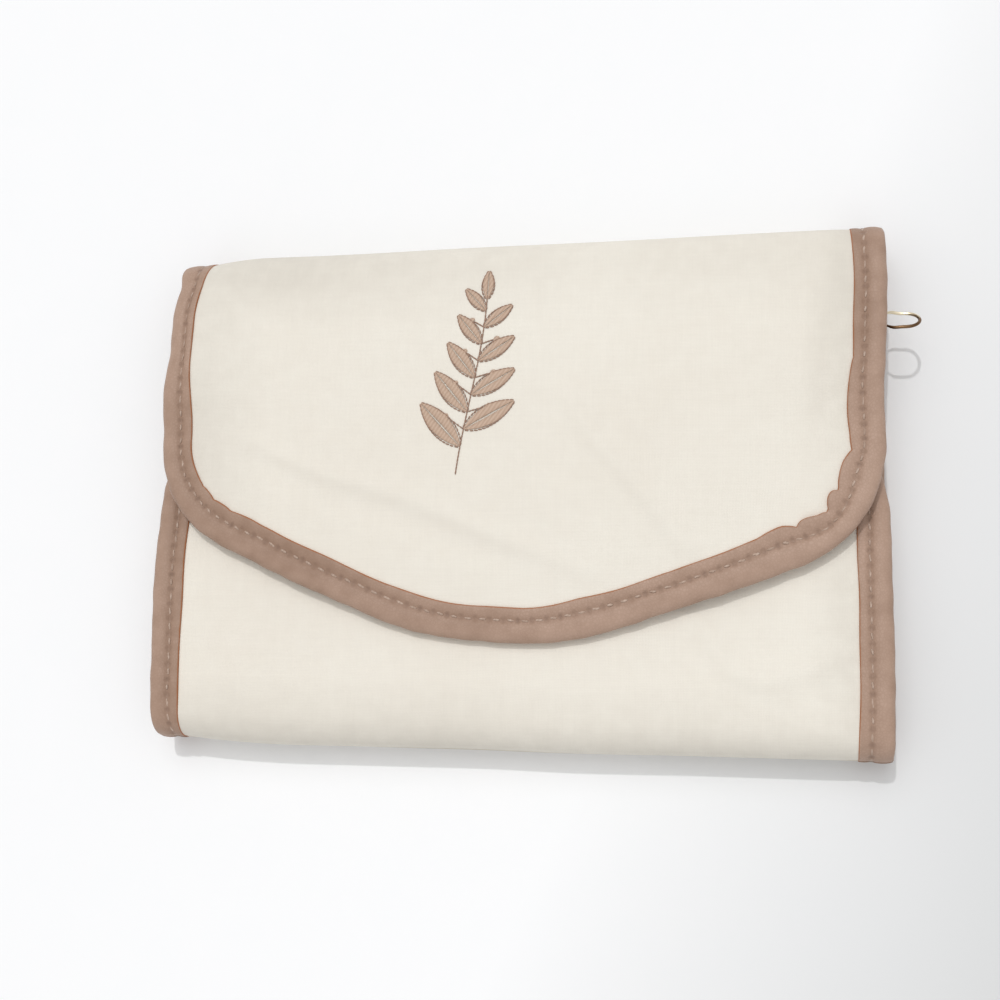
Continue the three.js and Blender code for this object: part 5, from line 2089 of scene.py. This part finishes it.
@dataclass
class RingBar:
    """The stuffed ring roll with its gathered ends and its two straps."""

    wardrobe: Wardrobe
    roll_rings: int = 150
    roll_sides: int = 64
    seam_turn: float = math.radians(-65)
    seam_margin: float = 9 * MM
    strap_thickness: float = 0.9 * MM
    strap_drop: float = 2.5 * MM
    strap_margin: float = 1.2 * MM
    strap_inset: float = 1.5 * MM
    seed: int = 31

    def roll(self) -> None:
        """Makes the roll: a line of vertices spun about its length, with gathers towards the ends."""
        low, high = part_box("ring_bar_roll")
        centre = (Vector(low) + Vector(high)) / 2
        half, radius = (high[0] - low[0]) / 2, (high[1] - low[1]) / 2

        def pattern(unit: np.ndarray) -> np.ndarray:
            """Turns the unit tube into run, girth and a share of the radius."""
            angle = np.arctan2(unit[:, 2], unit[:, 1])
            return joined((unit[:, 0] * 2 - 1) * half, angle * radius, np.hypot(unit[:, 1], unit[:, 2]))

        def lay(flat: np.ndarray) -> np.ndarray:
            """Lays the roll's pattern."""
            x, girth, share = flat.T
            angle = girth / radius
            end = np.clip((half - np.abs(x)) / (7 * MM), 0, 1)
            dome = np.sqrt(np.clip(1 - (1 - end) ** 2, 0, 1)) * 0.94 + 0.06
            gather = 0.05 * np.sin(11 * angle + np.sign(x)) * ease((24 * MM - half + np.abs(x)) / (24 * MM))
            lumps = 0.012 * np.sin(70 * x + 2 * angle) + 0.01 * np.sin(131 * x - angle)
            r = radius * share * dome * (0.985 + gather * end + lumps - 0.02)
            return joined(centre.x + x, centre.y + r * np.cos(angle), centre.z + r * np.sin(angle))

        piece = Piece("soft_ring_bar_roll", tube(self.roll_rings, self.roll_sides), pattern, lay).build()
        self.unwrap(piece, 2 * math.pi * radius)
        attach(piece, "back")
        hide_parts("ring_bar_roll")
        self.wardrobe.dress(piece, "roll_cloth")
        rng = np.random.default_rng(self.seed)
        start, pitch = half - self.seam_margin, 2.6 * MM
        girth = self.seam_turn * radius
        drift = rng.normal(0, 0.03, int(2 * start / pitch))
        rows = [
            Stitch(((i + 0.5) * pitch - start, girth, 1.02), 2.1 * MM, 0.45 * MM, 0.05, float(turn))
            for i, turn in enumerate(drift)
        ]
        threads = stitched("soft_ring_bar_seam", rows, lay)
        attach(threads, "back")
        self.wardrobe.dress(threads, "lining_thread")

    def unwrap(self, piece: bpy.types.Object, girth: float) -> None:
        """Keeps the map of each face together across the line where the girth begins again."""
        layer = piece.data.uv_layers[CLOTH].data
        for face in piece.data.polygons:
            first = layer[face.loop_start].uv.y
            for corner in face.loop_indices:
                layer[corner].uv.y -= girth * round((layer[corner].uv.y - first) / girth)

    def strap(self, name: str, node: str, body: str, side: Side, seat: float) -> None:
        """Makes a folded cloth strap that leaves the roll, drops and lies flat, stitched along its edges.

        Args:
            name: The piece's name.
            node: The CAD node.
            body: Its body.
            side: The roll's end that it leaves.
            seat: The height of its flat end's underside.
        """
        low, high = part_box(node)
        inner = min(abs(low[0]), abs(high[0]))
        top, thick, drop = high[2], self.strap_thickness, self.strap_drop
        route = np.array([
            (inner, top - thick / 2),
            (inner + 0.9 * MM, top - thick * 0.8),
            (inner + drop * 0.72, top - 2.2 * MM),
            (inner + drop - thick * 0.3, (top + seat) / 2),
            (inner + drop, seat + 1.9 * MM),
            (inner + drop + 0.6 * MM, seat + 0.9 * MM),
            (inner + drop + 1.8 * MM, seat + thick / 2),
            (max(abs(low[0]), abs(high[0])) - thick / 2, seat + thick / 2),
        ])
        knots = np.concatenate([[0.0], np.cumsum(np.hypot(*np.diff(route, axis=0).T))])
        length, width = float(knots[-1]), high[1] - low[1]
        fine = np.linspace(0, length, 90)
        line = joined(np.interp(fine, knots, route[:, 0]), np.interp(fine, knots, route[:, 1]))
        for _ in range(ROUTE_SMOOTHING):
            line[1:-1] = (line[:-2] + 2 * line[1:-1] + line[2:]) / 4
        way = np.gradient(line, axis=0)
        way /= np.linalg.norm(way, axis=1)[:, None]

        def pattern(unit: np.ndarray) -> np.ndarray:
            """Turns the unit slab into run, place across and height."""
            edge = np.minimum(unit[:, 1], 1 - unit[:, 1]) * width
            groove = 0.12 * np.exp(-(((edge - self.strap_inset) / (0.5 * MM)) ** 2))
            swell = thick * (0.72 + 0.28 * ease(edge / (1.4 * MM)) - groove)
            return joined(unit[:, 0] * length, (unit[:, 1] - 0.5) * width, (0.5 - unit[:, 2]) * swell)

        def lay(flat: np.ndarray) -> np.ndarray:
            """Lays the strap on its route."""
            run, across, height = flat.T
            x = np.interp(run, fine, line[:, 0]) - np.interp(run, fine, way[:, 1]) * height
            z = np.interp(run, fine, line[:, 1]) + np.interp(run, fine, way[:, 0]) * height
            across = across * (1 - 0.05 * np.sin(run / length * math.pi))
            return joined(side.value * x, (low[1] + high[1]) / 2 + across, z)

        piece = Piece(name, slab(48, 26), pattern, lay).build()
        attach(piece, body)
        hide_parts(node)
        self.wardrobe.dress(piece, "strap_cloth")
        pitch, margin, row = LINING_PITCH, self.strap_margin, width / 2 - self.strap_inset
        size = (0.75 * pitch, 0.42 * MM, 0.3 * MM)
        rows = [
            Stitch((margin + (i + 0.5) * pitch, edge * row, 0.42 * thick), *size)
            for edge in (-1, 1)
            for i in range(int((length - 2 * margin) / pitch))
        ]
        threads = stitched(f"{name}_stitches", rows, lay)
        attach(threads, body)
        self.wardrobe.dress(threads, "lining_thread")

    def build(self) -> None:
        """Makes the roll and its straps."""
        self.roll()
        for name, body, side in (("strap", "ring_strap", Side.RIGHT), ("anchor", "back", Side.LEFT)):
            node = f"ring_bar_{name}"
            self.strap(f"soft_{node}", node, body, side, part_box(node)[0][2])
        LOG.info("stuffed the ring bar")


# The studio


@dataclass
class Studio:
    """A pale floor, greyed by painted shade towards its lower right, a soft studio light and the camera."""

    floor_z: float = -1.02 * MM
    floor_half: float = 6.0
    floor_tone: str = "#f9fafb"
    floor_shade_tone: str = "#d5d6d6"
    horizon: float = 0.36
    zenith: float = 0.73
    key: float = 0.75
    soft_key: float = 0.55
    fill: float = 0.3
    sun_way: tuple[float, float, float] = (-1.3, 9.0, 18.0)
    fill_way: tuple[float, float, float] = (0.0, -10.0, 4.5)
    eye: tuple[float, float, float] = (0.0904, -0.0877, 0.4894)
    aim: tuple[float, float, float] = (-0.0050, -0.0038, 0.0100)
    roll: float = 1.593
    lens: float = 51.3

    def floor(self) -> None:
        """Makes the floor, greyed by painted shade towards its lower right."""
        shape = bmesh.new()
        place = Matrix.Translation((0, 0, self.floor_z))
        bmesh.ops.create_grid(shape, x_segments=1, y_segments=1, size=self.floor_half, matrix=place)
        mesh = mesh_of("studio_floor", shape)
        floor = show("studio_floor", mesh)
        d = Dress("studio_paper")
        fine = d.noise(d.object_place, 60.0, 3.0)
        paper = d.mix(fine, tone(self.floor_tone), tone("#fbfbfc"))
        x, y, _ = d.parts(d.object_place)
        # Painted shade greys the floor towards its lower right.
        away = d.spread(d.plus(d.times(x, 0.92), d.times(y, -0.4)), 0.06, 0.24, 0.0, 1.0)
        d.feed(d.shader.inputs["Base Color"], d.mix(away, paper, tone(self.floor_shade_tone)))
        d.set(Roughness=0.95, Specular_IOR_Level=0.1)
        mesh.materials.append(d.material)

    def light(self) -> None:
        """Makes the world, the key lights and a fill low on the viewer's side."""
        world = bpy.data.worlds.new("studio_world")
        world.use_nodes = True
        bpy.context.scene.world = world
        g = Graph(world.node_tree)
        back = g.tree.nodes["Background"]
        path = g.add("ShaderNodeLightPath")
        seen = g.larger(path.outputs["Is Camera Ray"], path.outputs["Is Transmission Ray"])
        height = g.parts(g.add("ShaderNodeTexCoord").outputs["Generated"])[2]
        dome = g.spread(height, 0.0, 1.0, self.horizon, self.zenith)
        lit = g.times(dome, g.minus(1.0, seen))
        g.feed(back.inputs["Strength"], g.plus(lit, seen))
        back.inputs["Color"].default_value = (1.0, 1.0, 1.0, 1.0)
        for name, energy, angle, way in (
            ("studio_key", self.key, 1.4, self.sun_way),
            ("studio_soft_key", self.soft_key, 40.0, self.sun_way),
            ("studio_fill", self.fill, 60.0, self.fill_way),
        ):
            sun = bpy.data.lights.new(name, "SUN")
            sun.energy = energy
            sun.angle = math.radians(angle)
            show(name, sun).rotation_euler = Vector(way).to_track_quat("Z", "Y").to_euler()

    def camera(self) -> None:
        """Makes the camera, looking down on the case from a little below and to its right."""
        roll = math.radians(self.roll)
        back = (Vector(self.eye) - Vector(self.aim)).normalized()
        level = Vector((0, 1, 0)).cross(back).normalized()
        raised = back.cross(level)
        right = level * math.cos(roll) + raised * math.sin(roll)
        up = raised * math.cos(roll) - level * math.sin(roll)
        lens = bpy.data.cameras.new("studio_camera")
        lens.lens = self.lens
        lens.sensor_width = 36
        lens.clip_start = 0.01
        camera = show("studio_camera", lens)
        matrix = Matrix((right, up, back)).transposed().to_4x4()
        matrix.translation = self.eye
        camera.matrix_world = matrix
        bpy.context.scene.camera = camera

    def build(self) -> None:
        """Sets the studio up."""
        self.floor()
        self.light()
        self.camera()
        bpy.context.scene.view_settings.view_transform = "Standard"
        LOG.info("lit the studio")


def main(nodes: dict[str, bpy.types.Object]) -> None:
    """Builds the organizer and the studio.

    Args:
        nodes: The CAD nodes.
    """
    logging.basicConfig(level=logging.INFO, format="%(name)s: %(message)s")
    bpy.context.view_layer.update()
    case = Case(CaseSizes())
    wardrobe = Wardrobe(case.profile)
    bends = make_bends(case.sizes)
    Shell(case, wardrobe, bends).build()
    Bindings(case, wardrobe, bends).build()
    Sprig(case, wardrobe, bends).build()
    Patchwork(case, wardrobe).build()
    Hardware(wardrobe, nodes).build()
    RingBar(wardrobe).build()
    Studio().build()


if __name__ == "__main__":
    main(frame["nodes"])
